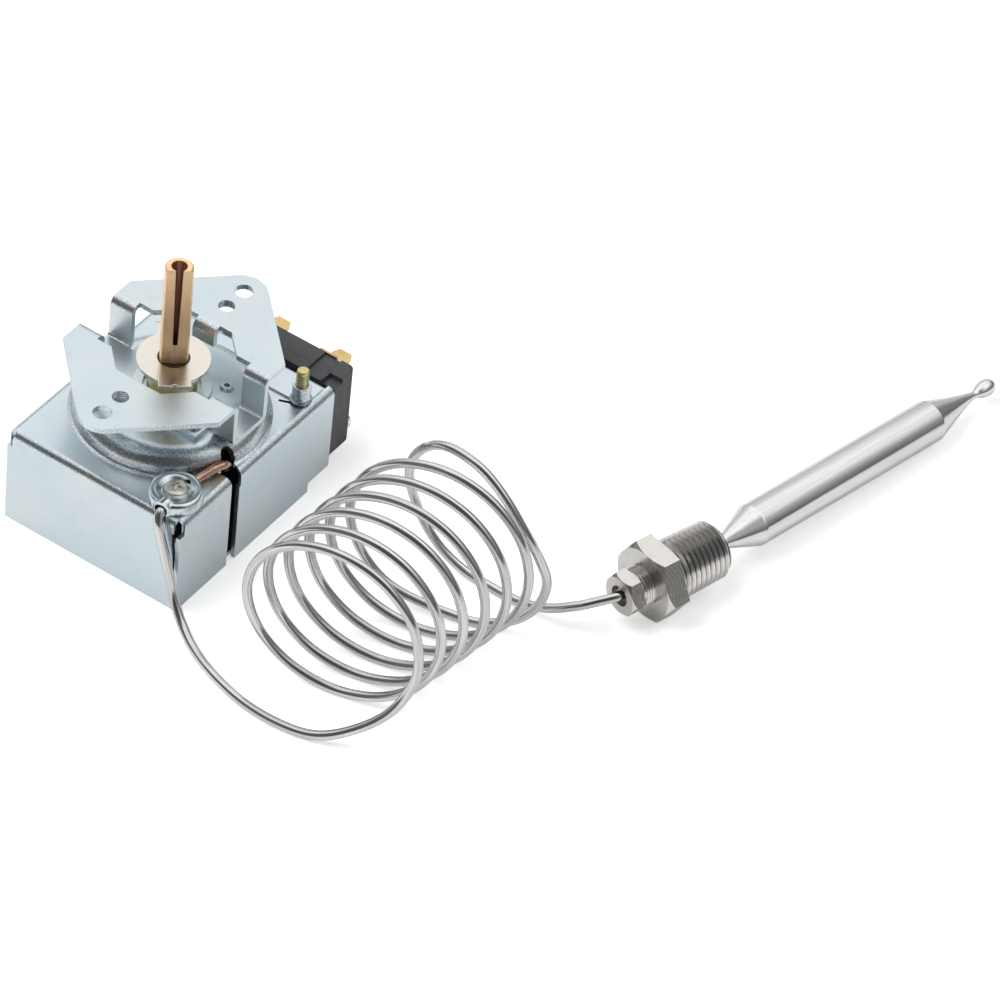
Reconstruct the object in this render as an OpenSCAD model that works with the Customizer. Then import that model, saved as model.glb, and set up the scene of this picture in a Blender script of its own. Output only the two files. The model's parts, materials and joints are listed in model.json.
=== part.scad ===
// Capillary-and-bulb control for a deep fat fryer, with panel bracket, snap switch and compression gland.
// The origin is on the shaft's axis, at the height of the panel face of the two ears. +Z is along the shaft.

/* [Housing] */
// From the shaft's axis to the left face
housing_left = 23; // [22.5:0.5:27]
// From the shaft's axis to the face with the slot
housing_right = 24; // [23.5:0.5:27]
// From the shaft's axis to the front face, and to the back face
housing_half_y = 28.2; // [26:0.2:33]
// Height of the side walls
housing_h = 25.5; // [24.5:0.5:32]
// Thickness of the housing's sheet
sheet_t = 1.0; // [0.8:0.1:1.2]
// Outer radius of the housing's bends
housing_bend_r = 1.8; // [1.4:0.1:2.2]
// Radius of the dome's foot
dome_r = 22.4; // [20:0.2:22.4]
// Height of the dome over the top plate
dome_h = 5.1; // [4:0.1:6]
// Width of the slot in the right face
slot_w = 3.0; // [2.6:0.2:4.0]

/* [Bracket] */
// Height of the ears' panel face over the dome
ear_height = 11.9; // [10.5:0.1:14]
// Half of the ears' width
ear_half_w = 21; // [20:0.5:23]
// Thickness of the bracket's sheet
ear_t = 1.4; // [1.2:0.1:1.6]
// Inner radius of the bracket's bends
ear_bend_in = 0.8; // [0.6:0.1:1.0]
// Distance from the shaft's axis to the legs' inner faces
leg_y = 4.8; // [4.6:0.1:5.4]
// Distance from the shaft's axis to the corner where the ears start to taper
ear_corner_y = 12; // [11:0.5:13]
// Radius of the ears' round noses
ear_nose_r = 6; // [5:0.5:7]
// Distance between the two inner screw holes
inner_holes = 38.1; // [36:0.1:40]
// Distance between the two outer screw holes
outer_holes = 50.8; // [49:0.1:52]
// Diameter of the two outer screw holes
ear_hole_d = 4.2; // [3.6:0.1:4.6]
// Diameter of the two inner screw holes, which are tapped
tapped_hole_d = 3.7; // [3.4:0.1:4.2]

/* [Shaft] */
// Diameter of the shaft
shaft_d = 6.35; // [6:0.05:6.5]
// Length of the shaft over the ears' panel face
shaft_len = 24.4; // [18:0.2:32]
// Depth of the shaft's flat
flat_depth = 1.6; // [1.2:0.1:1.8]
// Diameter of the shaft's bore
shaft_bore_d = 3.5; // [3.3:0.1:3.6]
// Width of the slot along the flat
shaft_slot_w = 1.3; // [1.0:0.1:1.6]
// Radius of the stop washer
washer_r = 8.2; // [8:0.1:9]
// Direction of the flat and of the washer's front tab, seen from above
flat_az = -51.5; // [-54:0.5:-48]

/* [Switch] */
// Width of the switch
switch_w = 30.6; // [29:0.2:31]
// Height of the switch
switch_h = 21; // [20.5:0.5:22]
// Thickness of the switch, body and cover together
switch_t = 7.8; // [7.4:0.2:9]
// Distance from the housing's left face to the far end of the switch
switch_end = 46.4; // [46.2:0.2:47]

/* [Capillary] */
// Diameter of the capillary
tube_d = 2.2; // [1.6:0.1:2.4]
// Radius of the coil, to the middle of the tube
coil_r = 21.9; // [21:0.1:22.5]
// Number of turns in the coil
coil_turns = 5.75; // [5.75]
// Advance of the coil in one turn
coil_pitch = 6.7; // [6.6:0.1:6.8]

/* [Gland and bulb] */
// Size across the flats of the gland nut
nut_af = 9.2; // [8:0.1:10]
// Size across the flats of the fitting
fitting_af = 17; // [16:0.1:18]
// Outer diameter of the pipe thread at its large end
thread_d = 14.4; // [13.7:0.1:14.6]
// Diameter of the bulb
bulb_d = 10; // [9.5:0.1:10.4]
// Length of the bulb's straight part
bulb_len = 59; // [50:1:70]

/* [Hidden] */
$fn = 48;
eps = 0.01;
running = 0.03;
loose = 0.2;

// Heights of the main levels
dome_z = -ear_height;
plate_z = dome_z - dome_h;
floor_z = plate_z - housing_h;
under_plate_z = plate_z - sheet_t;
under_dome_z = dome_z - sheet_t;

// Housing
wall_in_y = housing_half_y - sheet_t;
dome_top_r = dome_r - 5.8;
dome_shoulder_r = 4.2;
dome_foot = 1.7;
keyhole_x = 19.8;
keyhole_y = -6.3;
keyhole_r = 1.66;
slot_y = -8.2;
bottom_step = 2.6;
bottom_step_y = 20.5;
corner_gap = 0.25;
relief_r = 1.15;
relief_in = 0.8;
corner_wedge = 1.2;
corner_wedge_top = plate_z - 3.4;
corner_wedge_end = plate_z - 17;
vent_x = 18;
vent_y = 18;
bend_half_y = housing_half_y - housing_bend_r;
relief_places = [[-housing_left + relief_in, -housing_half_y + relief_in],
    [-housing_left + relief_in, housing_half_y - relief_in], [housing_right - relief_in, -housing_half_y + relief_in]];
stud_x = 20.2;
stud_y = 20.6;
pad_h = 0.5;
base_t = 1.0;
base_z = floor_z + 0.8;

// Bracket
bend_out = ear_bend_in + ear_t;
leg_x = 15;
leg_out_y = leg_y + ear_t;
ear_bend_y = leg_y + bend_out;
nose_y = ear_corner_y + ear_half_w - ear_nose_r * sqrt(2);
notch_half_w = 6;
notch_y = 12.8;
boss_in_r = 6.4;
boss_out_r = 8.8;
boss_h = 1.0;
base_half_x = 13.6;
base_half_y = 9.6;
stop_half_w = 2.9;
stop_end_z = -4.6;
rivet_places = [[9.4, 7.4], [11.4, -7.2], [-9.4, -7.4], [-11.4, 7.2]];
rivet_r = 1.7;

// Shaft, bushing and washer
washer_top_z = -1.75;
washer_t = 1.0;
washer_bottom_z = washer_top_z - washer_t;
washer_hole_r = 3.55;
tab_half_w = 3.6;
front_tab_r = 9.3;
rear_tab_r = 11.4;
bushing_r = 5.5;
bushing_top_z = washer_bottom_z - loose;
journal_r = 4.0;
flange_r = 8;
flange_t = 1.5;
flange_z = under_dome_z - flange_t;
groove_z = flange_z - loose - 0.9;
land_z = groove_z - 0.7;
stem_r = 3.0;
slot_end_z = 8.4;
bore_end_z = -6;

// Carrier and capsule, at the high end of their travel
carrier_top_z = land_z - 0.4;
carrier_t = 2.6;
carrier_r = 7;
skirt_in_r = 5.2;
capsule_top_z = carrier_top_z - 4.3;
capsule_t = 3.0;
capsule_r = 12;
stem_end_z = capsule_top_z + 1.3;
button_r = 2.5;
button_end_z = capsule_top_z - capsule_t - 2.4;
guide_x = -13;
guide_r = 1.2;

// Bell-crank lever, its pin and its bracket
lever_gap = 0.1;
lever_t = 1.2;
lever_top_z = button_end_z - lever_gap;
lever_half_w = 4.5;
pivot_y = 17;
pivot_z = lever_top_z + 3.1;
pin_r = 1.0;
hub_r = 2.4;
lug_in_x = 5.5;
lug_t = 1.2;
arm_y = 20.4;
plunger_z = pivot_z - 9;
plunger_r = 1.25;
plunger_y = 24.1;
lever_screw_r = 1.5;

// Switch
switch_x1 = switch_end - housing_left;
switch_x0 = switch_x1 - switch_w;
switch_top_z = plate_z;
switch_bottom_z = switch_top_z - switch_h;
insulator_t = 0.9;
cover_y = housing_half_y + insulator_t;
cover_t = 2.8;
body_y = cover_y + cover_t;
body_back_y = cover_y + switch_t;
terminal_z = switch_top_z - 4.4;
terminal_w = 4.8;
terminal_t = 0.8;
terminal_len = 6.3;
terminal_left_x = switch_x0 + 6.9;
terminal_right_x = switch_x0 + 23.7;
channel_x0 = switch_x0 + 22.4;
channel_x1 = switch_x0 + 26.8;
switch_screw_x = [switch_x0 + 3.4, switch_x1 - 3.4];
switch_screw_z = switch_bottom_z + 2.8;
m3_r = 1.45;

// Clamp
clamp_x = 17.6;
clamp_y = -21.6;
clamp_r = 6.1;
clamp_h = 2.7;
clamp_t = 0.8;
clamp_dish = 1.0;
tube_z = plate_z + 1.2;

// Capillary's route. The points were chosen by hand, and a smooth curve runs through them.
tube_r = tube_d / 2;
tube_floor_z = floor_z + tube_r;
lead_route = [
    [18.3, -24.7, tube_z], [18.3, -27, tube_z], [18.8, -29.3, tube_z - 1.4], [20.0, -29.9, tube_z - 4.8],
    [21.6, -29.9, -26], [23.3, -30, -31.4], [25.6, -30.9, -36.6], [29.6, -33, -39.9], [35, -36, -41.2],
    [43, -39.4, tube_floor_z], [52.5, -41.8, tube_floor_z], [62, -42, tube_floor_z], [70, -40.4, -40.8],
    [76.4, -37.2, -38.0]];
tail_route = [
    [73.8, 8.9, tube_floor_z], [80, 11.4, -40.8], [85.6, 13.4, -37.4], [89.6, 14, -31], [91.2, 13.4, -23],
    [89.6, 11.6, -15.5], [85.8, 10.4, -8.6], [80.6, 10.2, -2.6], [74.3, 10.8, 1.2], [68.2, 11.2, 2.4],
    [63, 11.6, 1.6], [58.6, 12.2, -1.8], [55, 13.4, -7.6], [52.8, 15.6, -15], [52.8, 17.8, -23],
    [55.6, 19.2, -31], [60.2, 20.2, -37.2], [66.4, 21, -40.9], [73.5, 21, tube_floor_z], [80.5, 20.8, -41],
    [87.4, 21.4, -39.2], [93.2, 23.8, -36.8], [97.2, 26.9, -35.1]];
copper_route = [
    [18.2, -17.4, tube_z], [18.9, -13.8, tube_z + 0.2], [19.9, -10.6, tube_z + 0.7], [20.7, -8.4, tube_z + 0.5],
    [20.5, -6.9, tube_z - 0.7], [19.8, -6.2, tube_z - 2.4], [18.2, -4.6, tube_z - 4.6], [15.0, -1.4, capsule_top_z - 1.3],
    [12.6, 0, capsule_top_z - 1.5]];
lead_tube_d = 2.0;

// Coil: its axis lies along the floor, and the first turn's middle is here
coil_x = 64.9;
coil_y = -31;
coil_az = 83;
coil_z = tube_floor_z + coil_r;
coil_from = -4.1;
coil_to = 40.5;
coil_in_r = coil_r * 0.955 - tube_r;

// Gland: the mouth's place and direction, and the stations along its axis
gland_x = 100.2;
gland_y = 30.0;
gland_z = floor_z + fitting_af / 2;
gland_az = 73.4;
nut_len = 3.4;
neck_len = 3.3;
hex_len = 5.3;
thread_len = 15.2;
gland_len = nut_len + neck_len + hex_len + thread_len;
neck_r = 4.75;
gland_bore_r = 3.4;
packing_z = 8;
packing_t = 2;

// Bulb: it starts at the end of the fitting and comes down to the floor at its far end
bulb_gap = 0.3;
bulb_az = 78.8;
near_cone = 11.5;
near_cone_r = 1.5;
far_cone = 14.2;
far_cone_r = 1.25;
bead_r = 1.95;
bead_z = 19.6;
bulb_x = gland_x + (gland_len + bulb_gap) * cos(gland_az);
bulb_y = gland_y + (gland_len + bulb_gap) * sin(gland_az);
bulb_tilt = asin((gland_z - floor_z - bulb_d / 2) / (near_cone + bulb_len));

function gland_point(s) = [gland_x + s * cos(gland_az), gland_y + s * sin(gland_az), gland_z];

// A smooth curve through points: position between points i and i + 1, at t from 0 to 1
function at_index(route, i) = route[max(0, min(len(route) - 1, i))];
function curve_point(route, i, t) =
    let (a = at_index(route, i - 1), b = at_index(route, i), c = at_index(route, i + 1), d = at_index(route, i + 2))
    0.5 * ((2 * b) + (c - a) * t + (2 * a - 5 * b + 4 * c - d) * t * t + (3 * b - a - 3 * c + d) * t * t * t);
function curve_points(route, steps) = concat(
    [for (i = [0 : len(route) - 2], k = [0 : steps - 1]) curve_point(route, i, k / steps)],
    [route[len(route) - 1]]);
function unit(v) = v / norm(v);
function side_of(dir) = unit(cross(dir, abs(dir[2]) < 0.9 ? [0, 0, 1] : [0, 1, 0]));
// Frames that turn as little as they can along the curve
function carried(side, dir) = unit(side - (side * dir) * dir);
function directions(p) = [for (i = [0 : len(p) - 1]) unit(p[min(i + 1, len(p) - 1)] - p[max(i - 1, 0)])];
function frames(dirs, i, side, out) = i == len(dirs) ? out :
    let (s = carried(side, dirs[i])) frames(dirs, i + 1, s, concat(out, [s]));

// A round tube of radius r along points p
module swept(p, r, sides = 8) {
    dirs = directions(p);
    sds = frames(dirs, 0, side_of(dirs[0]), []);
    rings = [for (i = [0 : len(p) - 1], k = [0 : sides - 1])
        let (a = 360 * (k + 0.5) / sides)
        p[i] + r * (cos(a) * sds[i] + sin(a) * cross(dirs[i], sds[i]))];
    n = len(p);
    faces = concat(
        [[for (k = [sides - 1 : -1 : 0]) k]],
        [for (i = [0 : n - 2], k = [0 : sides - 1])
            [i * sides + k, i * sides + (k + 1) % sides, (i + 1) * sides + (k + 1) % sides, (i + 1) * sides + k]],
        [[for (k = [0 : sides - 1]) (n - 1) * sides + k]]);
    polyhedron(rings, faces, convexity = 4);
}

// A quarter of a ring: the section of a bend, in the quadrant of +x and +y
module bend_section(inner, t) {
    intersection() {
        difference() {
            circle(inner + t);
            if (inner > 0) circle(inner);
        }
        square(inner + t + 1);
    }
}

// Draws a section that is given in Y and Z along X, from x0 to x1
module along_x(x0, x1) {
    translate([x0, 0, 0]) rotate([90, 0, 90]) linear_extrude(x1 - x0) children();
}

// A box from one corner to the other
module box(a, b) {
    translate(a) cube(b - a);
}

// One side wall from x0 to x1, drawn against -Y with its outer face at distance d, and its bend between the reliefs
module flap(d, x0, x1, z0, z1, bend_x0, bend_x1) {
    box([x0, -d, z0], [x1, -d + sheet_t, z1 - housing_bend_r]);
    translate([0, -d + housing_bend_r, z1 - housing_bend_r])
        along_x(bend_x0, bend_x1) mirror([1, 0]) bend_section(housing_bend_r - sheet_t, sheet_t);
}

// The dome's solid: a flat top, a rounded shoulder and a short sloping foot down to z = 0
module dome_solid(r, h, top_r, shoulder) {
    rotate_extrude() {
        polygon([[0, -0.6], [r, -0.6], [r, 0], [r - dome_foot, dome_foot], [0, dome_foot]]);
        square([top_r, h]);
        intersection() {
            translate([top_r, h - shoulder]) circle(shoulder);
            square([r, h + 1]);
        }
    }
}

module keyhole_cut() {
    translate([keyhole_x, keyhole_y, under_plate_z - 3]) cylinder(r = keyhole_r, h = 10);
    translate([0, 0, under_plate_z - 3]) linear_extrude(10)
        polygon([[keyhole_x - 1.0, keyhole_y - 1.5], [keyhole_x + 3, slot_y - slot_w / 2],
            [housing_right + 1, slot_y - slot_w / 2], [housing_right + 1, slot_y + slot_w / 2],
            [keyhole_x + 1.4, keyhole_y + 1.1]]);
    box([housing_right - 4, slot_y - slot_w / 2, floor_z - 1], [housing_right + 1, slot_y + slot_w / 2, plate_z + 1]);
}

module housing() {
    color("lightsteelblue") difference() {
        union() {
            box([-housing_left + housing_bend_r, -housing_half_y + housing_bend_r, under_plate_z],
                [housing_right - housing_bend_r, housing_half_y - housing_bend_r, plate_z]);
            for (m = [0, 1]) mirror([0, m, 0])
                flap(housing_half_y, -housing_left + corner_gap, housing_right - sheet_t - corner_gap, floor_z, plate_z,
                    -housing_left + housing_bend_r, housing_right - housing_bend_r);
            rotate([0, 0, 90])
                flap(housing_right, -housing_half_y, housing_half_y, floor_z, plate_z, -bend_half_y, housing_half_y);
            rotate([0, 0, -90])
                flap(housing_left, -wall_in_y + corner_gap, wall_in_y - corner_gap, floor_z, plate_z,
                    -bend_half_y, bend_half_y);
            translate([0, 0, plate_z]) dome_solid(dome_r, dome_h, dome_top_r, dome_shoulder_r);
            translate([0, 0, plate_z - eps]) linear_extrude(pad_h + eps)
                polygon([[12.4, 19.2], [housing_right - 1.9, 19.2], [housing_right - 1.9, wall_in_y - 1], [12.4, wall_in_y - 1]]);
        }
        translate([0, 0, plate_z - sheet_t])
            dome_solid(dome_r - 0.7, dome_h, dome_top_r - 0.4, dome_shoulder_r - 0.4);
        box([12.9, 19.7, under_plate_z - 1], [housing_right - 2.7, wall_in_y - 1.5, under_plate_z + pad_h]);
        translate([0, 0, under_dome_z - 1]) cylinder(r = bushing_r, h = 4);
        keyhole_cut();
        translate([stud_x, stud_y, under_plate_z - 1]) cylinder(r = 1.6, h = 4);
        translate([clamp_x, clamp_y, under_plate_z - 1]) cylinder(r = 1.5, h = 4);
        for (p = rivet_places)
            translate([p[0], p[1], under_dome_z - 1]) cylinder(r = 1.0, h = 3);
        for (p = relief_places)
            translate([p[0], p[1], under_plate_z - 3]) cylinder(r = relief_r, h = 5);
        translate([0, -wall_in_y + 1, 0]) rotate([90, 0, 0]) linear_extrude(sheet_t + 2)
            polygon([[housing_right - sheet_t - corner_wedge, corner_wedge_top],
                [housing_right - sheet_t - 0.05, corner_wedge_top], [housing_right - sheet_t - 0.05, corner_wedge_end]]);
        translate([vent_x, vent_y, under_plate_z - 1]) rotate([0, 0, 22]) cube([3.2, 0.7, 4], center = true);
        box([housing_right - 2, bottom_step_y, floor_z - 1], [housing_right + 1, housing_half_y + 1, floor_z + bottom_step]);
        translate([0, housing_half_y + 1, plunger_z]) rotate([90, 0, 0]) cylinder(r = 2.4, h = 3);
        for (x = switch_screw_x)
            translate([x, housing_half_y + 1, switch_screw_z]) rotate([90, 0, 0]) cylinder(r = m3_r + 0.1, h = 3);
    }
}

module base_plate() {
    color("lightsteelblue") difference() {
        box([-housing_left + sheet_t + 0.1, -wall_in_y + 0.1, base_z],
            [housing_right - sheet_t - 0.1, wall_in_y - 0.1, base_z + base_t]);
        for (x = [-12, 0, 12]) translate([x, -14, base_z - 1]) cylinder(r = 2.2, h = 3);
    }
}

// Outline of one ear, drawn towards +Y
module ear_outline() {
    tangent = ear_nose_r / sqrt(2);
    difference() {
        union() {
            polygon([[-ear_half_w, ear_bend_y], [-ear_half_w, ear_corner_y], [-tangent, nose_y + tangent],
                [tangent, nose_y + tangent], [ear_half_w, ear_corner_y], [ear_half_w, ear_bend_y]]);
            translate([0, nose_y]) circle(ear_nose_r);
        }
        polygon([[-leg_x, ear_bend_y - 1], [-leg_x, ear_bend_y + 0.6], [-notch_half_w - 5.2, ear_bend_y + 0.6],
            [-notch_half_w, notch_y], [notch_half_w, notch_y], [notch_half_w + 5.2, ear_bend_y + 0.6],
            [leg_x, ear_bend_y + 0.6], [leg_x, ear_bend_y - 1]]);
        translate([0, inner_holes / 2]) circle(d = tapped_hole_d);
        translate([0, outer_holes / 2]) circle(d = ear_hole_d);
    }
}

// Section of one leg with both bends, in Y and Z, for the ear towards +Y
module leg_section() {
    square_from(leg_y - bend_out + ear_t - 1, dome_z, leg_out_y - bend_out, dome_z + ear_t);
    translate([leg_out_y - bend_out, dome_z + bend_out]) mirror([0, 1]) bend_section(ear_bend_in, ear_t);
    square_from(leg_y, dome_z + bend_out, leg_out_y, -bend_out);
    translate([ear_bend_y, -bend_out]) mirror([1, 0]) bend_section(ear_bend_in, ear_t);
}

module square_from(x0, y0, x1, y1) {
    translate([x0, y0]) square([x1 - x0, y1 - y0]);
}

module half_bracket() {
    translate([0, 0, -ear_t]) linear_extrude(ear_t) ear_outline();
    along_x(leg_x, ear_half_w) leg_section();
    along_x(-ear_half_w, -leg_x) leg_section();
}

module mounting_bracket() {
    color("lightsteelblue") difference() {
        union() {
            half_bracket();
            mirror([0, 1, 0]) half_bracket();
            box([-ear_half_w, -leg_out_y + bend_out, dome_z], [ear_half_w, leg_out_y - bend_out, dome_z + ear_t]);
            box([-base_half_x, -base_half_y, dome_z], [base_half_x, base_half_y, dome_z + ear_t]);
            translate([0, 0, dome_z]) cylinder(r = boss_out_r, h = ear_t + boss_h);
            translate([0, notch_y, -bend_out]) along_x(-stop_half_w, stop_half_w)
                mirror([1, 0]) bend_section(ear_bend_in, ear_t);
            box([-stop_half_w, notch_y - bend_out, stop_end_z], [stop_half_w, notch_y - ear_bend_in, -bend_out]);
        }
        translate([0, 0, dome_z - 1]) cylinder(r = bushing_r, h = 6);
        translate([0, 0, dome_z + ear_t]) cylinder(r = boss_in_r, h = 3);
        for (p = rivet_places)
            translate([p[0], p[1], dome_z - 1]) cylinder(r = 1.0, h = 4);
    }
}

module bracket_rivets() {
    color("lightsteelblue") for (p = rivet_places) translate([p[0], p[1], 0]) difference() {
        union() {
            translate([0, 0, under_dome_z - 0.8]) cylinder(r = rivet_r, h = 0.8);
            translate([0, 0, under_dome_z - 0.8]) cylinder(r = 1.0, h = dome_z + ear_t - under_dome_z + 0.8);
            translate([0, 0, dome_z + ear_t]) cylinder(r1 = rivet_r, r2 = 1.2, h = 0.8);
        }
        translate([0, 0, dome_z + ear_t - 0.6]) cylinder(r = 0.6, h = 2);
    }
}

module bushing() {
    color("darkgoldenrod") difference() {
        union() {
            translate([0, 0, flange_z]) cylinder(r = bushing_r, h = bushing_top_z - flange_z);
            translate([0, 0, flange_z]) cylinder(r = flange_r, h = flange_t);
        }
        translate([0, 0, flange_z - 1]) cylinder(r = journal_r + running, h = 20);
    }
}

module shaft() {
    color("burlywood") difference() {
        union() {
            translate([0, 0, washer_bottom_z]) cylinder(d = shaft_d, h = shaft_len - washer_bottom_z - 0.4);
            translate([0, 0, shaft_len - 0.4]) cylinder(d1 = shaft_d, d2 = shaft_d - 0.8, h = 0.4);
            translate([0, 0, washer_bottom_z]) cylinder(r = washer_hole_r, h = washer_t * 0.4);
            translate([0, 0, groove_z + 0.9]) cylinder(r = journal_r, h = washer_bottom_z - groove_z - 0.9);
            translate([0, 0, groove_z - eps]) cylinder(r = 3.2, h = 0.9 + 2 * eps);
            translate([0, 0, land_z]) cylinder(r = journal_r, h = groove_z - land_z);
            translate([0, 0, stem_end_z]) cylinder(r = stem_r, h = land_z - stem_end_z + eps);
        }
        rotate([0, 0, flat_az]) {
            box([shaft_d / 2 - flat_depth, -5, washer_bottom_z + washer_t * 0.4], [6, 5, shaft_len + 1]);
            box([0, -shaft_slot_w / 2, slot_end_z], [6, shaft_slot_w / 2, shaft_len + 1]);
        }
        translate([0, 0, bore_end_z]) cylinder(d = shaft_bore_d, h = shaft_len - bore_end_z + 1);
    }
}

module stop_washer() {
    color("gainsboro") rotate([0, 0, flat_az]) translate([0, 0, washer_bottom_z]) difference() {
        union() {
            cylinder(r = washer_r, h = washer_t);
            box([0, -tab_half_w, 0], [front_tab_r, tab_half_w, washer_t]);
            box([-rear_tab_r, -tab_half_w, 0], [0, tab_half_w, washer_t]);
        }
        translate([0, 0, -1]) cylinder(r = washer_hole_r, h = 4);
        box([front_tab_r - 0.5, -0.4, -1], [front_tab_r + 1, 0.4, 3]);
    }
}

module retaining_ring() {
    color("silver") translate([0, 0, groove_z + 0.05]) difference() {
        cylinder(r = 6, h = 0.8);
        translate([0, 0, -1]) cylinder(r = 3.2, h = 3);
        rotate([0, 0, flat_az]) box([0, -2.2, -1], [8, 2.2, 3]);
    }
}

module calibration_screw() {
    color("goldenrod") difference() {
        translate([0, 0, bore_end_z]) cylinder(d = shaft_bore_d, h = 6.4);
        box([-3, -0.3, bore_end_z + 5.6], [3, 0.3, bore_end_z + 8]);
    }
}

module carrier_nut() {
    color("silver") difference() {
        union() {
            translate([0, 0, capsule_top_z]) cylinder(r = carrier_r, h = carrier_top_z - capsule_top_z);
            box([guide_x - 2.4, -2.2, carrier_top_z - carrier_t], [0, 2.2, carrier_top_z]);
            translate([guide_x - 2.4, 0, carrier_top_z - carrier_t]) cylinder(r = 2.2, h = carrier_t);
        }
        translate([0, 0, capsule_top_z - 1]) cylinder(r = skirt_in_r, h = 1 + carrier_top_z - carrier_t - capsule_top_z);
        translate([0, 0, capsule_top_z]) cylinder(r = stem_r + running, h = 10);
        translate([guide_x, 0, capsule_top_z]) cylinder(r = guide_r + running, h = 10);
    }
}

module guide_pin() {
    color("silver") {
        translate([guide_x, 0, carrier_top_z - carrier_t - 1]) cylinder(r = guide_r, h = under_dome_z - carrier_top_z + carrier_t + 1);
        translate([guide_x, 0, under_dome_z - 1]) cylinder(r = 2, h = 1);
    }
}

module diaphragm_capsule() {
    rim = 0.7;
    color("silver") translate([0, 0, capsule_top_z - capsule_t]) rotate_extrude()
        polygon([[0, 0.2], [2.6, 0.2], [3.4, 0], [6, 0], [6.8, 0.5], [8.2, 0.5], [9, 0], [10.6, 0.3],
            [capsule_r, capsule_t / 2 - rim / 2], [capsule_r, capsule_t / 2 + rim / 2], [10.6, capsule_t - 0.3],
            [9, capsule_t - 0.2], [8.4, capsule_t - 0.6], [7.6, capsule_t - 0.6], [7, capsule_t], [0, capsule_t]]);
}

module capsule_button() {
    color("goldenrod") translate([0, 0, button_end_z])
        cylinder(r = button_r, h = capsule_top_z - capsule_t + 0.2 - button_end_z);
}

module lead_tube() {
    color("peru") swept(curve_points(copper_route, 2), lead_tube_d / 2);
}

module capillary_clamp() {
    lift = 0.3;
    color("lightsteelblue") difference() {
        union() {
            translate([clamp_x, clamp_y, plate_z]) cylinder(r = clamp_r, h = clamp_h);
            translate([18.3, clamp_y - 3.2, tube_z + lift]) rotate([90, 0, 0]) cylinder(r = tube_r + clamp_t, h = 3.2);
            box([clamp_x - 5.4, clamp_y + 3.2, plate_z + 0.3], [clamp_x - 2.4, clamp_y + 5.8, plate_z + 1.6]);
        }
        difference() {
            translate([clamp_x, clamp_y, plate_z - 1]) cylinder(r = clamp_r - clamp_t, h = 1 + clamp_h - clamp_t);
            translate([clamp_x, clamp_y, plate_z - 2]) cylinder(r = 3.9, h = 5);
        }
        translate([clamp_x, clamp_y, plate_z + clamp_h - clamp_dish]) cylinder(r1 = 3.2, r2 = 5.2, h = clamp_dish + eps);
        translate([clamp_x, clamp_y, plate_z - 1]) cylinder(r = 1.6, h = 6);
        translate([18.3, clamp_y - 2.6, tube_z]) rotate([90, 0, 0]) cylinder(r = tube_r + 0.05, h = 6);
        translate([18.3, clamp_y - 5.0, tube_z]) rotate([90, 0, 0]) cylinder(r1 = tube_r, r2 = tube_r + 0.7, h = 1.6);
        translate([18.2, clamp_y + 8, tube_z]) rotate([90, 0, 0]) cylinder(r = lead_tube_d / 2 + 0.3, h = 6);
        box([clamp_x - 8, clamp_y - 9, floor_z], [clamp_x + 8, clamp_y + 9, plate_z]);
        translate([0, 0, plate_z]) dome_solid(dome_r, dome_h, dome_top_r, dome_shoulder_r);
    }
}

module clamp_screw() {
    seat_z = plate_z + clamp_h - clamp_dish;
    color("silver") translate([clamp_x, clamp_y, 0]) difference() {
        union() {
            translate([0, 0, under_plate_z - 3]) cylinder(r = 1.5, h = seat_z - under_plate_z + 3);
            translate([0, 0, seat_z]) cylinder(r = 2.6, h = 0.9);
            translate([0, 0, seat_z + 0.9]) cylinder(r1 = 2.6, r2 = 1.9, h = 0.7);
        }
        for (a = [20, 110]) rotate([0, 0, a]) box([-1.5, -0.3, seat_z + 0.7], [1.5, 0.3, seat_z + 3]);
    }
}

module switch_lever() {
    arm_end_z = plunger_z - 2.4;
    color("lightsteelblue") difference() {
        union() {
            box([-lever_half_w, -4, lever_top_z - lever_t], [lever_half_w, arm_y + lever_t, lever_top_z]);
            box([-lever_half_w, arm_y, arm_end_z], [lever_half_w, arm_y + lever_t, lever_top_z]);
            translate([-lug_in_x + loose, pivot_y, pivot_z]) rotate([0, 90, 0]) cylinder(r = hub_r, h = 2 * (lug_in_x - loose));
            box([-lever_half_w, pivot_y - 0.6, lever_top_z - eps], [lever_half_w, pivot_y + 0.6, pivot_z]);
        }
        translate([-10, pivot_y, pivot_z]) rotate([0, 90, 0]) cylinder(r = pin_r + running, h = 20);
        translate([0, arm_y - 1, plunger_z]) rotate([-90, 0, 0]) cylinder(r = lever_screw_r, h = 4);
    }
}

module lever_pin() {
    color("silver") translate([-lug_in_x - lug_t - 0.4, pivot_y, pivot_z]) rotate([0, 90, 0])
        cylinder(r = pin_r, h = 2 * (lug_in_x + lug_t + 0.4));
}

module lever_bracket() {
    low = pivot_z - 2.4;
    high = pivot_z + 2.4;
    out_x = lug_in_x + lug_t;
    color("lightsteelblue") difference() {
        union() {
            for (s = [-1, 1]) box([min(s * lug_in_x, s * out_x), pivot_y - 2.6, low], [max(s * lug_in_x, s * out_x), wall_in_y, high]);
            box([-out_x, wall_in_y - lug_t, low], [out_x, wall_in_y, high]);
        }
        translate([-10, pivot_y, pivot_z]) rotate([0, 90, 0]) cylinder(r = pin_r, h = 20);
    }
}

module lever_screw() {
    color("goldenrod") {
        translate([0, plunger_y - 0.2 - 4.8, plunger_z]) rotate([-90, 0, 0]) cylinder(r = lever_screw_r, h = 4.8);
        translate([0, plunger_y - 0.2 - 4.8 - 1.2, plunger_z]) rotate([-90, 0, 0]) cylinder(r = 2.4, h = 1.2);
    }
}

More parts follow.
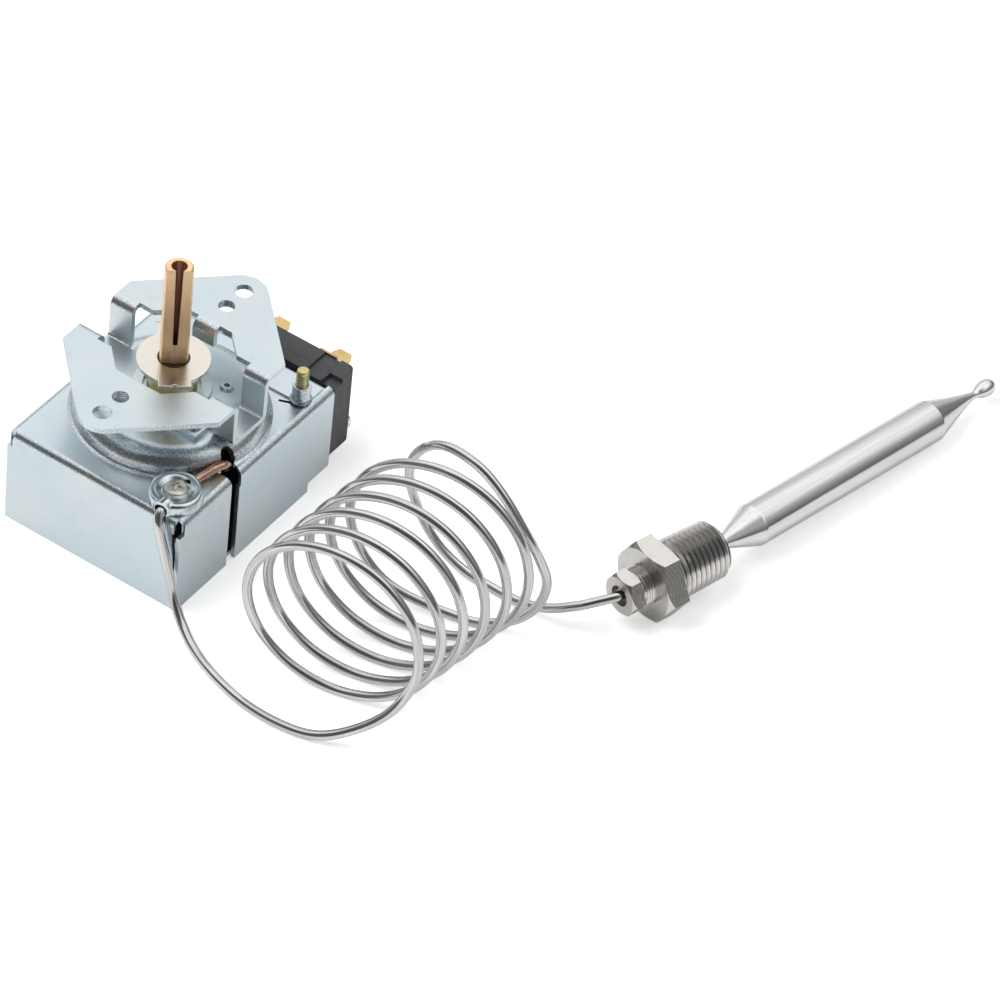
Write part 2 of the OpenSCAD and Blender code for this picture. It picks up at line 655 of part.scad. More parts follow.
module return_spring() {
    turns = 6;
    per_turn = 12;
    wire_r = 0.35;
    spring_r = 3;
    low = base_z + base_t + wire_r;
    high = lever_top_z - lever_t - 1.0;
    color("silver") translate([0, 6, 0]) swept([for (i = [0 : turns * per_turn])
        [spring_r * cos(360 * i / per_turn), spring_r * sin(360 * i / per_turn),
            low + (high - low) * i / (turns * per_turn)]], wire_r, 6);
}

module switch_hole(x, z, r, y0, y1) {
    translate([x, y0, z]) rotate([-90, 0, 0]) cylinder(r = r, h = y1 - y0);
}

// One half of the switch's moulding, from y0 to y1, with its screw holes
module switch_slab(y0, y1) {
    difference() {
        box([switch_x0, y0, switch_bottom_z], [switch_x1, y1, switch_top_z]);
        for (x = switch_screw_x) switch_hole(x, switch_screw_z, m3_r + 0.05, y0 - 1, y1 + 1);
    }
}

module switch_body() {
    corner = 1.6;
    color("dimgray") difference() {
        switch_slab(body_y, body_back_y);
        box([channel_x0, body_y - 1, switch_top_z - 0.7], [channel_x1, body_back_y + 1, switch_top_z + 1]);
        switch_hole(0, plunger_z, plunger_r + 0.4, body_y - 1, body_y + 2);
        difference() {
            box([switch_x1 - corner, body_back_y - corner, switch_bottom_z - 1], [switch_x1 + 1, body_back_y + 1, switch_top_z + 1]);
            translate([switch_x1 - corner, body_back_y - corner, switch_bottom_z - 2]) cylinder(r = corner, h = switch_h + 4);
        }
        difference() {
            box([switch_x0 - 1, body_back_y - corner, switch_bottom_z - 1], [switch_x0 + corner, body_back_y + 1, switch_top_z + 1]);
            translate([switch_x0 + corner, body_back_y - corner, switch_bottom_z - 2]) cylinder(r = corner, h = switch_h + 4);
        }
    }
}

module switch_cover() {
    color("dimgray") difference() {
        switch_slab(cover_y, body_y);
        box([channel_x0, cover_y - 1, switch_top_z - 0.7], [channel_x1, body_y + 1, switch_top_z + 1]);
        box([switch_x1 - 3.4, cover_y - 1, switch_top_z - 1.2], [switch_x1 + 1, body_y + 1, switch_top_z + 1]);
        switch_hole(0, plunger_z, plunger_r + running, cover_y - 1, body_y + 1);
    }
}

module switch_plunger() {
    stop = body_y - 0.6;
    color("ivory") switch_hole(0, plunger_z, plunger_r, plunger_y, stop);
}

// A blade terminal with a foot on the back of the switch
module terminal(x) {
    half = terminal_w / 2;
    color("goldenrod") translate([x, body_back_y, terminal_z]) {
        box([-half, 0, -5.4], [half, terminal_t, 0]);
        linear_extrude(terminal_t) polygon([[-half, 0], [-half, terminal_len - 1.7], [-half + 0.8, terminal_len],
            [half - 0.8, terminal_len], [half, terminal_len - 1.7], [half, 0]]);
    }
}

module terminal_left() {
    terminal(terminal_left_x);
}

module terminal_right() {
    terminal(terminal_right_x);
}

module contact_strip() {
    color("rosybrown") box([terminal_right_x - 3.0, body_back_y, terminal_z + terminal_t],
        [terminal_right_x + 1.8, body_back_y + 0.6, switch_top_z - 0.1]);
}

module insulator_sheet() {
    color("#202020") difference() {
        box([switch_x0 + 0.4, housing_half_y, switch_bottom_z + 0.4], [switch_x1 - 0.6, cover_y, switch_top_z - 2.6]);
        switch_hole(0, plunger_z, 2.4, housing_half_y - 1, cover_y + 1);
        for (x = switch_screw_x) switch_hole(x, switch_screw_z, m3_r + 0.1, housing_half_y - 1, cover_y + 1);
    }
}

module switch_screws() {
    color("silver") for (x = switch_screw_x) difference() {
        union() {
            switch_hole(x, switch_screw_z, m3_r, wall_in_y - 2.4, body_back_y);
            switch_hole(x, switch_screw_z, 2.5, body_back_y, body_back_y + 1.6);
            translate([x, wall_in_y - 2.2, switch_screw_z]) rotate([-90, 0, 0]) cylinder(r = 2.6, h = 2.2, $fn = 6);
        }
        box([x - 3, body_back_y + 1.0, switch_screw_z - 0.35], [x + 3, body_back_y + 2, switch_screw_z + 0.35]);
    }
}

module stud_screw() {
    color("khaki") translate([stud_x, stud_y, 0]) {
        translate([0, 0, under_plate_z - 1.5]) cylinder(r = m3_r, h = 9.2 + sheet_t + 1.2);
        translate([0, 0, under_plate_z + sheet_t + 8.9]) cylinder(r1 = m3_r, r2 = m3_r - 0.3, h = 0.3);
        translate([0, 0, under_plate_z - 1.5]) cylinder(r = 2, h = 1.5);
    }
}

module stud_collar() {
    color("lightsteelblue") translate([stud_x, stud_y, plate_z + pad_h]) difference() {
        union() {
            cylinder(r1 = 2.7, r2 = 2.1, h = 0.7);
            translate([0, 0, 0.7]) cylinder(r = 2.1, h = 3.5);
        }
        translate([0, 0, -1]) cylinder(r = m3_r, h = 6);
    }
}

module capillary_lead() {
    color("darkgray") swept(curve_points(lead_route, 2), tube_r);
}

module capillary_coil() {
    color("darkgray") translate([coil_x, coil_y, coil_z]) rotate([0, 0, coil_az]) rotate([0, 90, 0])
        translate([0, 0, coil_from]) rotate_extrude()
            translate([coil_in_r, 0]) square([coil_r + tube_r - coil_in_r, coil_to - coil_from]);
}

module capillary_tail() {
    inside = concat(tail_route, [for (s = [0, 5, 10, 15, 20, gland_len]) gland_point(s)]);
    color("darkgray") swept(curve_points(inside, 2), tube_r);
}

// Puts a shape that is drawn along +Z from the gland's mouth in its place
module in_gland() {
    translate([gland_x, gland_y, gland_z]) rotate([0, 0, gland_az]) rotate([0, 90, 0]) rotate([0, 0, 30]) children();
}

module hexagon(af, h) {
    cylinder(d = af / cos(30), h = h, $fn = 6);
}

module gland_nut() {
    color("lightgray") in_gland() difference() {
        union() {
            intersection() {
                hexagon(nut_af, nut_len);
                cylinder(r1 = nut_af / 2 - 0.1, r2 = nut_af / 2 + 3.3, h = nut_len);
            }
            translate([0, 0, nut_len]) cylinder(r = gland_bore_r, h = packing_z - nut_len);
        }
        translate([0, 0, -1]) cylinder(r = 2.5, h = 3.2);
        translate([0, 0, -1]) cylinder(r = tube_r + 0.2, h = 20);
    }
}

module packing_ring() {
    color("beige") in_gland() difference() {
        translate([0, 0, packing_z]) cylinder(r = gland_bore_r, h = packing_t);
        translate([0, 0, packing_z - 1]) cylinder(r = tube_r + 0.02, h = packing_t + 2);
    }
}

module gland_fitting() {
    hex_z = nut_len + neck_len;
    thread_z = hex_z + hex_len;
    color("lightgray") in_gland() difference() {
        union() {
            translate([0, 0, nut_len + 0.1]) cylinder(r = neck_r, h = neck_len);
            intersection() {
                translate([0, 0, hex_z]) hexagon(fitting_af, hex_len);
                translate([0, 0, hex_z]) cylinder(r1 = fitting_af / 2, r2 = fitting_af / 2 + 9, h = hex_len + 2);
            }
            translate([0, 0, thread_z]) cylinder(d1 = thread_d, d2 = thread_d - thread_len / 16, h = thread_len);
        }
        translate([0, 0, 0]) cylinder(r = gland_bore_r, h = packing_z + packing_t);
        translate([0, 0, 0]) cylinder(r = 2.2, h = gland_len + 1);
    }
}

// Puts a shape that is drawn along +Z from the start of the bulb in its place
module in_bulb() {
    translate([bulb_x, bulb_y, gland_z]) rotate([0, 0, bulb_az]) rotate([0, 90 + bulb_tilt, 0]) children();
}

module sensing_bulb() {
    r = bulb_d / 2;
    color("whitesmoke") in_bulb() rotate_extrude()
        polygon([[0, 0], [near_cone_r, 0], [r, near_cone], [r, near_cone + bulb_len],
            [far_cone_r, near_cone + bulb_len + far_cone], [0, near_cone + bulb_len + far_cone]]);
}

module bulb_tip() {
    start = near_cone + bulb_len + far_cone;
    bead = near_cone + bulb_len + bead_z;
    color("whitesmoke") in_bulb() {
        translate([0, 0, start]) cylinder(r1 = far_cone_r, r2 = bead_r * 0.9, h = bead - start - 0.6);
        translate([0, 0, bead]) sphere(bead_r);
    }
}

housing();
base_plate();
mounting_bracket();
bracket_rivets();
bushing();
shaft();
stop_washer();
retaining_ring();
calibration_screw();
carrier_nut();
guide_pin();
diaphragm_capsule();
capsule_button();
lead_tube();
capillary_clamp();
clamp_screw();
switch_lever();
lever_pin();
lever_bracket();
lever_screw();
return_spring();
switch_body();
switch_cover();
switch_plunger();
terminal_left();
terminal_right();
contact_strip();
insulator_sheet();
switch_screws();
stud_screw();
stud_collar();
capillary_lead();
capillary_coil();
capillary_tail();
gland_nut();
packing_ring();
gland_fitting();
sensing_bulb();
bulb_tip();
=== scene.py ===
"""Looks of a fryer's capillary-and-bulb control, built round the packed frame.

Lengths are in millimetres unless a docstring says metres, and angles in degrees unless it says radians.
"""

import json
import logging
import math
from dataclasses import dataclass, field
from enum import Enum
from typing import Any, Callable, Sequence

import bmesh
import bpy
from mathutils import Matrix, Vector

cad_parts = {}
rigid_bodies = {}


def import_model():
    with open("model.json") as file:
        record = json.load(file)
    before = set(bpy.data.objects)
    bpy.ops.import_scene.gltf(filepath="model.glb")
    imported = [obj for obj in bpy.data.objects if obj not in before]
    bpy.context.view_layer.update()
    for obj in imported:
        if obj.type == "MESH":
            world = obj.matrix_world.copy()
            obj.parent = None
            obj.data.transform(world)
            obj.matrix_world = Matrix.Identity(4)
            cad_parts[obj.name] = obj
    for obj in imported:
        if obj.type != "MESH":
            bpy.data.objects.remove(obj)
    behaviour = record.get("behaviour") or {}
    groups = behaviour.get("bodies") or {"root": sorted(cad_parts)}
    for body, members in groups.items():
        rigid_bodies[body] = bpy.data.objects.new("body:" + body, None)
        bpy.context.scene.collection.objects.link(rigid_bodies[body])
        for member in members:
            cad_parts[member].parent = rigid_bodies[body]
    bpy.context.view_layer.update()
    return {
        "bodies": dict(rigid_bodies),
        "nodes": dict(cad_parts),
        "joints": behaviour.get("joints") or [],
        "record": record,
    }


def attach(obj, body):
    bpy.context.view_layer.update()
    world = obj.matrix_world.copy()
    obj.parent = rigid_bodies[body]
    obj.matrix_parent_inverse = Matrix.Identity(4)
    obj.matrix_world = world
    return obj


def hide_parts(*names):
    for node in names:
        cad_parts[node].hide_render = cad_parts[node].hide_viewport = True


LOG = logging.getLogger("control")
Mesh = bpy.types.Mesh
BMesh = bmesh.types.BMesh
Point = tuple[float, float, float]
Pair = tuple[float, float]
Pairs = tuple[Pair, ...]
Ring = list[bmesh.types.BMVert]

MM = 0.001
MERGE_M = 1e-6
FLAT = 0.6
SOFTEN_FROM = 28.0
SHARP = 34.0
ROUND_SHARP = 50.0
UP = Vector((0, 0, 1))
PLATE_Z = -17.0
FLOOR_Z = -42.5


class Slot(Enum):
    """Material slots of the record."""

    ZINC = "zinc_sheet"
    NICKEL = "nickel_sheet"
    SHAFT = "shaft_brass"
    BUSHING = "bushing_brass"
    TERMINAL = "terminal_brass"
    COPPER = "copper_lead"
    YELLOW = "yellow_zinc"
    SPRING = "spring_steel"
    STAINLESS = "stainless"
    CAPILLARY = "capillary_steel"
    FITTING = "fitting_steel"
    MOULDING = "black_moulding"
    FIBRE = "black_fibre"
    IVORY = "ivory_plastic"


class Body(Enum):
    """Bodies of the frame."""

    BASE = "base"
    SHAFT = "knob_shaft"
    CARRIER = "carrier"
    LEVER = "lever"
    PLUNGER = "plunger"


def mm(*values: float) -> Vector:
    """A vector in metres from numbers in millimetres."""
    return Vector([v * MM for v in values])


def share(value: float, start: float, end: float) -> float:
    """How far a value is from start to end, kept from 0 to 1."""
    return min(1.0, max(0.0, (value - start) / (end - start)))


def angles(sides: int) -> list[float]:
    """Even angles of a full turn, in radians."""
    return [math.tau * k / sides for k in range(sides)]


@dataclass(frozen=True)
class Axis:
    """A place and a direction, for pieces that are drawn along +Z."""

    origin: Point
    azimuth: float
    tilt: float
    roll: float = 0.0

    def matrix(self) -> Matrix:
        """The matrix that takes a shape drawn along +Z, in metres, to its place."""
        turn = Matrix.Rotation(math.radians(self.azimuth), 4, "Z")
        lay = Matrix.Rotation(math.radians(90 + self.tilt), 4, "Y")
        spin = Matrix.Rotation(math.radians(self.roll), 4, "Z")
        return Matrix.Translation(mm(*self.origin)) @ turn @ lay @ spin

    def at(self, station: float) -> Point:
        """The point at a distance along the axis."""
        way = (self.matrix().to_3x3() @ UP).normalized()
        return tuple(v / MM for v in mm(*self.origin) + way * station * MM)


GLAND_UP = 8.5
GLAND_LEN = 27.2
BULB_GAP = 0.3
BULB_R = 5.0
BULB_REST = 70.5
GLAND = Axis((100.2, 30.0, FLOOR_Z + GLAND_UP), 73.4, 0.0, 30.0)
BULB = Axis(GLAND.at(GLAND_LEN + BULB_GAP), 78.8, math.degrees(math.asin((GLAND_UP - BULB_R) / BULB_REST)))


def math_method(kind: str, words: str) -> Callable[..., "Val"]:
    """Makes a method of Val that adds one Math node.

    Args:
        kind: The node's operation.
        words: The method's docstring.

    Returns:
        The method.
    """

    def method(self: "Val", *others: Any) -> "Val":
        """Adds the node."""
        return self.op(kind, *others)

    method.__doc__ = words
    return method


class Val:
    """A shader value, on which Python's operators add Math nodes."""

    def __init__(self, graph: "Graph", socket: Any) -> None:
        """Keeps an output socket, or a number, and the tree that it is in."""
        self.graph = graph
        self.socket = socket

    def op(self, kind: str, *others: Any, clamp: bool = False) -> "Val":
        """Adds one Math node of a kind to self and other operands, and gives its result."""
        operands = dict(enumerate((self, *others)))
        node = self.graph.add("ShaderNodeMath", operands, operation=kind, use_clamp=clamp)
        return Val(self.graph, node.outputs[0])

    __add__ = __radd__ = math_method("ADD", "self + other.")
    __mul__ = __rmul__ = math_method("MULTIPLY", "self * other.")
    __sub__ = math_method("SUBTRACT", "self - other.")
    __truediv__ = math_method("DIVIDE", "self / other.")
    power = math_method("POWER", "self to the power of other.")
    sine = math_method("SINE", "Sine of self.")
    absolute = math_method("ABSOLUTE", "Size of self without its sign.")
    most = math_method("MAXIMUM", "The larger of self and other.")

    def __rsub__(self, other: Any) -> "Val":
        """other - self."""
        return Val(self.graph, other).op("SUBTRACT", self)

    def rise(self, low: float, high: float) -> "Val":
        """0 below low, 1 above high and smooth between; high may be the smaller."""
        if low > high:
            return 1.0 - self.rise(high, low)
        ends = {"Value": self, "From Min": low, "From Max": high}
        node = self.graph.add("ShaderNodeMapRange", ends, interpolation_type="SMOOTHSTEP", clamp=True)
        return Val(self.graph, node.outputs[0])


class Tree:
    """A node tree under construction."""

    def __init__(self, tree: Any) -> None:
        """Keeps the tree."""
        self.tree = tree

    def add(self, kind: str, inputs: dict[Any, Any] | None = None, **settings: Any) -> Any:
        """Adds a node.

        Args:
            kind: The node's type.
            inputs: Values or links by socket name or number.
            settings: Its properties, set before its inputs. "stops" fills a colour ramp.

        Returns:
            The node.
        """
        node = self.tree.nodes.new(kind)
        for key, value in settings.items():
            if key != "stops":
                setattr(node, key, value)
                continue
            steps = node.color_ramp.elements
            while len(steps) < len(value):
                steps.new(0.5)
            for step, (place, colour) in zip(steps, value):
                step.position = place
                step.color = (*colour, 1.0)
        for key, value in (inputs or {}).items():
            self.feed(node.inputs[key], value)
        return node

    def feed(self, socket: Any, value: Any) -> None:
        """Links or sets one input socket.

        Args:
            socket: The input.
            value: A Val, a socket, a number, a tuple or a material.
        """
        if isinstance(value, Val):
            value = value.socket
        if isinstance(value, bpy.types.NodeSocket):
            self.tree.links.new(value, socket)
        elif socket.type == "RGBA" and isinstance(value, tuple) and len(value) == 3:
            socket.default_value = (*value, 1.0)
        else:
            socket.default_value = value


class Graph(Tree):
    """A shader tree, of a material or of the world."""

    def __init__(self, owner: Any) -> None:
        """Starts an empty tree for a material or the world."""
        owner.use_nodes = True
        super().__init__(owner.node_tree)
        self.tree.nodes.clear()

    def split(self, vector: Any) -> tuple[Val, Val, Val]:
        """The three parts of a vector."""
        return tuple(Val(self, part) for part in self.add("ShaderNodeSeparateXYZ", {0: vector}).outputs)

    def ramp(self, value: Any, *stops: Pair) -> Val:
        """A grey that follows straight lines between stops of place and brightness."""
        greys = [(place, (grey, grey, grey)) for place, grey in stops]
        return Val(self, self.add("ShaderNodeValToRGB", {0: value}, stops=greys).outputs[0])

    def layers(self, base: Any, *coats: tuple[Any, Any]) -> Any:
        """A colour under coats of other colours, each with how much of it shows."""
        for factor, colour in coats:
            node = self.add("ShaderNodeMix", {0: factor, 6: base, 7: colour}, data_type="RGBA")
            base = Val(self, node.outputs[2])
        return base


class Shade(Graph):
    """A material under construction, with one Principled shader."""

    def __init__(self, name: str) -> None:
        """Starts a material with a name."""
        self.material = bpy.data.materials.new(name)
        super().__init__(self.material)
        self.bsdf = self.add("ShaderNodeBsdfPrincipled")
        self.add("ShaderNodeOutputMaterial", {0: self.bsdf.outputs[0]})

    def coords(self, scale: Point = (1.0, 1.0, 1.0), turn: Point = (0.0, 0.0, 0.0),
               shift: Point = (0.0, 0.0, 0.0)) -> Any:
        """Object coordinates through a Mapping node.

        Args:
            scale: Scale of each axis.
            turn: Rotation in radians.
            shift: Location in metres.

        Returns:
            The vector socket.
        """
        where = self.add("ShaderNodeTexCoord").outputs["Object"]
        sizes = tuple(1.0 / s for s in scale)
        place = {"Vector": where, "Location": shift, "Rotation": turn, "Scale": sizes}
        node = self.add("ShaderNodeMapping", place, vector_type="TEXTURE")
        return node.outputs[0]

    def along(self, axis: Axis, scale: Point = (1.0, 1.0, 1.0)) -> Any:
        """Coordinates with their Z along an axis of the object, scaled."""
        place = axis.matrix()
        return self.coords(scale, tuple(place.to_euler()), tuple(place.translation))

    def noise(self, scale: float, detail: float = 3.0, rough: float = 0.6, at: Any = None,
              warp: float = 0.0) -> Val:
        """A noise value from 0 to 1.

        Args:
            scale: Features for each metre.
            detail: Octaves.
            rough: Weight of the fine octaves.
            at: Where it is read; plain object coordinates if left out.
            warp: Distortion.

        Returns:
            The value.
        """
        node = self.add("ShaderNodeTexNoise", {"Vector": self.coords() if at is None else at, "Scale": scale,
                                               "Detail": detail, "Roughness": rough, "Distortion": warp})
        return Val(self, node.outputs[0])

    def cells(self, scale: float) -> Val:
        """A random value for each small cell, as in crystals of plating."""
        node = self.add("ShaderNodeTexVoronoi", {"Vector": self.coords(), "Scale": scale}, feature="F1")
        return Val(self, self.add("ShaderNodeSeparateColor", {0: node.outputs["Color"]}).outputs[0])

    def bump(self, height: Any, distance: float, strength: float = 1.0) -> Val:
        """A normal from a height, with the depth in metres."""
        node = self.add("ShaderNodeBump", {"Height": height, "Distance": distance, "Strength": strength})
        return Val(self, node.outputs[0])

    def wear(self, low: float, high: float) -> Val:
        """How convex the surface is, from Geometry's pointiness."""
        return Val(self, self.add("ShaderNodeNewGeometry").outputs["Pointiness"]).rise(low, high)

    def bent(self) -> Val:
        """1 where the sheet is bent or drawn, 0 on its faces along X, Y and Z."""
        x, y, z = self.split(self.add("ShaderNodeNewGeometry").outputs["Normal"])
        return x.absolute().most(y.absolute()).most(z.absolute()).rise(0.995, 0.96)

    def set(self, **values: Any) -> None:
        """Sets the shader's sockets; spaces in names are written as underscores."""
        for key, value in values.items():
            self.feed(self.bsdf.inputs[key.replace("_", " ")], value)


class Finish:
    """A finish, made into a material once."""

    name: str = "finish"
    made: dict[str, bpy.types.Material] = {}

    def paint(self, shade: Shade) -> None:
        """Fills the material's nodes."""
        raise NotImplementedError

    def material(self) -> bpy.types.Material:
        """The finish's material, made on its first use."""
        if self.name not in Finish.made:
            shade = Shade(self.name)
            self.paint(shade)
            Finish.made[self.name] = shade.material
        return Finish.made[self.name]


@dataclass(frozen=True)
class ZincPlate(Finish):
    """Clear-blue zinc on cold-rolled steel, with rolling grain, cloudy tones and rough bends."""

    name: str = "zinc_plate"
    cold: Point = (0.635, 0.735, 0.785)
    warm: Point = (0.69, 0.755, 0.78)
    sparkle: Point = (0.88, 0.93, 0.96)
    dulled: Point = (0.48, 0.53, 0.56)
    # Colour of the painted dark reflections in the specks of bends and the drawn dome.
    painted_dark_speck: Point = (0.30, 0.31, 0.32)
    # Colour of the painted glints in the specks of bends and the drawn dome.
    glint: Point = (0.97, 0.98, 0.99)
    rough: float = 0.34
    speck_depth_m: float = 0.00003
    # How strongly bends show their rough specks, with their painted glints and painted dark reflections.
    bend_speck_and_glint: float = 1.0

    def paint(self, shade: Shade) -> None:
        """Fills the material's nodes."""
        cloud = shade.noise(55.0, 2.0, 0.5).rise(0.35, 0.65)
        grain = shade.noise(420.0, at=shade.coords((1.0, 9.0, 1.0)))
        crystal = shade.cells(2600.0)
        speck = shade.noise(4000.0, 2.0)
        dull = shade.noise(160.0, 4.0).rise(0.55, 0.75)
        bent = shade.bent() * self.bend_speck_and_glint
        # On bends and the drawn dome the darker specks are painted dark reflections and the brighter specks
        # are painted glints.
        tone = shade.layers(self.cold, (cloud, self.warm), (crystal * 0.10, self.sparkle),
                            (dull * 0.14, self.dulled), (bent * speck.rise(0.60, 0.42) * 0.55, self.painted_dark_speck),
                            (bent * speck.rise(0.56, 0.66) * 0.8, self.glint))
        rough = self.rough + (grain - 0.5) * 0.14 + dull * 0.06 + (crystal - 0.5) * 0.05 - bent * 0.08
        relief = speck * (bent * 0.9 + 0.12) + grain * 0.1
        shade.set(Base_Color=tone, Metallic=1.0, Roughness=rough,
                  Normal=shade.bump(relief, self.speck_depth_m))


@dataclass(frozen=True)
class BrightPlate(Finish):
    """Bright nickel, with fine scratches."""

    name: str = "bright_nickel"
    colour: Point = (0.82, 0.77, 0.70)
    smeared: Point = (0.62, 0.58, 0.53)
    rough: float = 0.2
    scratch_turn: Point = (0.0, 0.0, 0.7)

    def paint(self, shade: Shade) -> None:
        """Fills the material's nodes."""
        drawn = shade.coords((1.0, 14.0, 1.0), self.scratch_turn)
        scratch = shade.noise(700.0, 2.0, 0.7, drawn).rise(0.62, 0.74)
        smear = shade.noise(240.0, 3.0, 0.55)
        shade.set(Base_Color=shade.layers(self.colour, (smear * 0.25, self.smeared)), Metallic=1.0,
                  Roughness=self.rough + smear * 0.10 + scratch * 0.18,
                  Normal=shade.bump(smear, 0.00001, 0.4))


@dataclass(frozen=True)
class TurnedBrass(Finish):
    """Turned brass with tool marks round its axis, handling stains and a brown bore and slot."""

    name: str = "turned_brass"
    colour: Point = (1.0, 0.705, 0.425)
    stain: Point = (0.82, 0.54, 0.29)
    rubbed: Point = (0.96, 0.76, 0.48)
    # Brown of the painted shade inside the bore and the slot.
    bore_shade: Point = (0.46, 0.22, 0.13)
    shaded: Point = (0.10, 0.06, 0.04)
    pitch_m: float = 0.00022
    bore_m: float = 0.0018
    flat_m: float = 0.00155
    shaded_m: float = -0.0021
    flat_turn: float = -51.5
    metallic: float = 0.8

    def paint(self, shade: Shade) -> None:
        """Fills the material's nodes."""
        height = shade.split(shade.coords())[2]
        rings = (height * (math.tau / self.pitch_m)).sine()
        patch = shade.noise(190.0, 4.0, warp=0.4).rise(0.48, 0.72)
        speck = shade.noise(900.0, 2.0, at=shade.coords((1.0, 1.0, 0.3)))
        tone = shade.layers(self.colour, (patch * 0.5, self.stain),
                            (shade.wear(0.53, 0.60) * 0.5, self.rubbed))
        if self.bore_m:
            across, aside, _ = shade.split(shade.coords(turn=(0.0, 0.0, math.radians(self.flat_turn))))
            radius = (across * across + aside * aside).power(0.5)
            behind = across.rise(self.flat_m, self.flat_m - 0.00003)
            # Painted shade: brown inside the bore and the slot behind the flat, almost black below shaded_m.
            tone = shade.layers(tone, (radius.rise(self.bore_m, self.bore_m - 0.00004) * behind, self.bore_shade),
                                (height.rise(self.shaded_m, self.shaded_m - 0.0002), self.shaded))
        shade.set(Base_Color=tone, Metallic=self.metallic, Roughness=0.36 + speck * 0.12 + patch * 0.08,
                  Normal=shade.bump(rings * 0.5 + speck, 0.00001, 0.6))


@dataclass(frozen=True)
class Chromate(Finish):
    """Chromate whose tint drifts between three colours, olive to straw by default."""

    name: str = "olive_chromate"
    first: Point = (0.46, 0.42, 0.14)
    second: Point = (0.66, 0.54, 0.30)
    third: Point = (0.46, 0.55, 0.40)

    def paint(self, shade: Shade) -> None:
        """Fills the material's nodes."""
        stops = [(0.3, self.first), (0.5, self.second), (0.68, self.third)]
        tint = shade.add("ShaderNodeValToRGB", {0: shade.noise(300.0, 2.0, 0.5)}, stops=stops).outputs[0]
        fine = shade.noise(1800.0, 2.0, 0.55)
        shade.set(Base_Color=tint, Metallic=1.0, Roughness=0.28 + fine * 0.14,
                  Normal=shade.bump(fine, 0.000012, 0.5))


@dataclass(frozen=True)
class Bronzed(Finish):
    """Copper that has gone brown under heat, with bright rubs."""

    name: str = "browned_copper"
    brown: Point = (0.50, 0.30, 0.21)
    rubbed: Point = (0.84, 0.62, 0.50)

    def paint(self, shade: Shade) -> None:
        """Fills the material's nodes."""
        drift = shade.noise(260.0, 4.0)
        shade.set(Base_Color=shade.layers(self.brown, (drift.rise(0.4, 0.7), self.rubbed)), Metallic=1.0,
                  Roughness=0.16 + drift * 0.2, Normal=shade.bump(drift, 0.00002, 0.4))


@dataclass(frozen=True)
class DrawnSteel(Finish):
    """Drawn stainless: bright, with faint streaks along its tube or, where one is given, its axis."""

    name: str = "drawn_steel"
    colour: Point = (0.56, 0.55, 0.54)
    streaked: Point = (0.86, 0.85, 0.84)
    spotted: Point = (0.45, 0.43, 0.42)
    rough: float = 0.09
    axis: Axis | None = None

    def paint(self, shade: Shade) -> None:
        """Fills the material's nodes."""
        if self.axis is None:
            uv = shade.add("ShaderNodeUVMap", uv_map="UVMap").outputs[0]
            drawn = shade.add("ShaderNodeMapping", {"Vector": uv, "Scale": (0.06, 2.0, 1.0)}).outputs[0]
            streak = shade.noise(9.0, at=drawn)
            spots = shade.noise(520.0)
        else:
            streak = shade.noise(1500.0, at=shade.along(self.axis, (1.0, 1.0, 0.03)))
            spots = shade.noise(130.0, 4.0, at=shade.along(self.axis, (1.0, 1.0, 0.6))) * 0.85
        tone = shade.layers(self.colour, (streak.rise(0.42, 0.60) * 0.6, self.streaked),
                            (spots.rise(0.58, 0.78) * 0.25, self.spotted))
        shade.set(Base_Color=tone, Metallic=1.0, Roughness=self.rough + streak * 0.08 + spots * 0.05,
                  Normal=shade.bump(streak, 0.00002, 0.5))


@dataclass(frozen=True)
class MachinedSteel(Finish):
    """Turned and milled stainless of the gland, with lathe rings and dark valleys in its thread."""

    name: str = "machined_steel"
    axis: Axis = GLAND
    colour: Point = (0.68, 0.66, 0.63)
    grimy: Point = (0.45, 0.43, 0.40)
    bright: Point = (0.88, 0.86, 0.83)
    # Colour of the painted shade in the thread's valleys.
    thread_valley_shade: Point = (0.14, 0.13, 0.12)
    # Colour of the painted highlight on the thread's crests.
    crest: Point = (0.93, 0.92, 0.90)
    thread_at_m: float = 0.0120
    crest_m: float = 0.0072
    depth_m: float = 0.00095
    taper: float = 32.0
    lathe_m: float = 0.0006
    rough: float = 0.18

    def paint(self, shade: Shade) -> None:
        """Fills the material's nodes."""
        where = shade.along(self.axis)
        x, y, z = shade.split(where)
        radius = (x * x + y * y).power(0.5)
        wander = shade.noise(900.0, 2.0, 0.5, where) * 3.0
        rings = ((radius + z * 0.6) * (math.tau / self.lathe_m) + wander).sine()
        brushed = shade.noise(2600.0, 2.0, at=shade.along(self.axis, (1.0, 1.0, 0.08)))
        grime = shade.noise(420.0, at=where).rise(0.5, 0.8)
        past = z - self.thread_at_m
        threaded = past.rise(-0.0001, 0.0001)
        height = (radius - (self.crest_m - self.depth_m) + past / self.taper) / self.depth_m
        # Painted shade in the thread's valleys and painted highlight on its crests.
        tone = shade.layers(self.colour, (grime * 0.25, self.grimy),
                            (rings * 0.04 + brushed * 0.25, self.bright),
                            (height.rise(0.65, 0.15) * threaded * 0.75, self.thread_valley_shade),
                            (height.rise(0.8, 1.0) * threaded, self.crest))
        rough = self.rough + grime * 0.08 + rings * 0.02 + brushed * 0.06
        shade.set(Base_Color=tone, Metallic=1.0, Roughness=rough,
                  Normal=shade.bump(rings * 0.06 + brushed, 0.000008, 0.5))


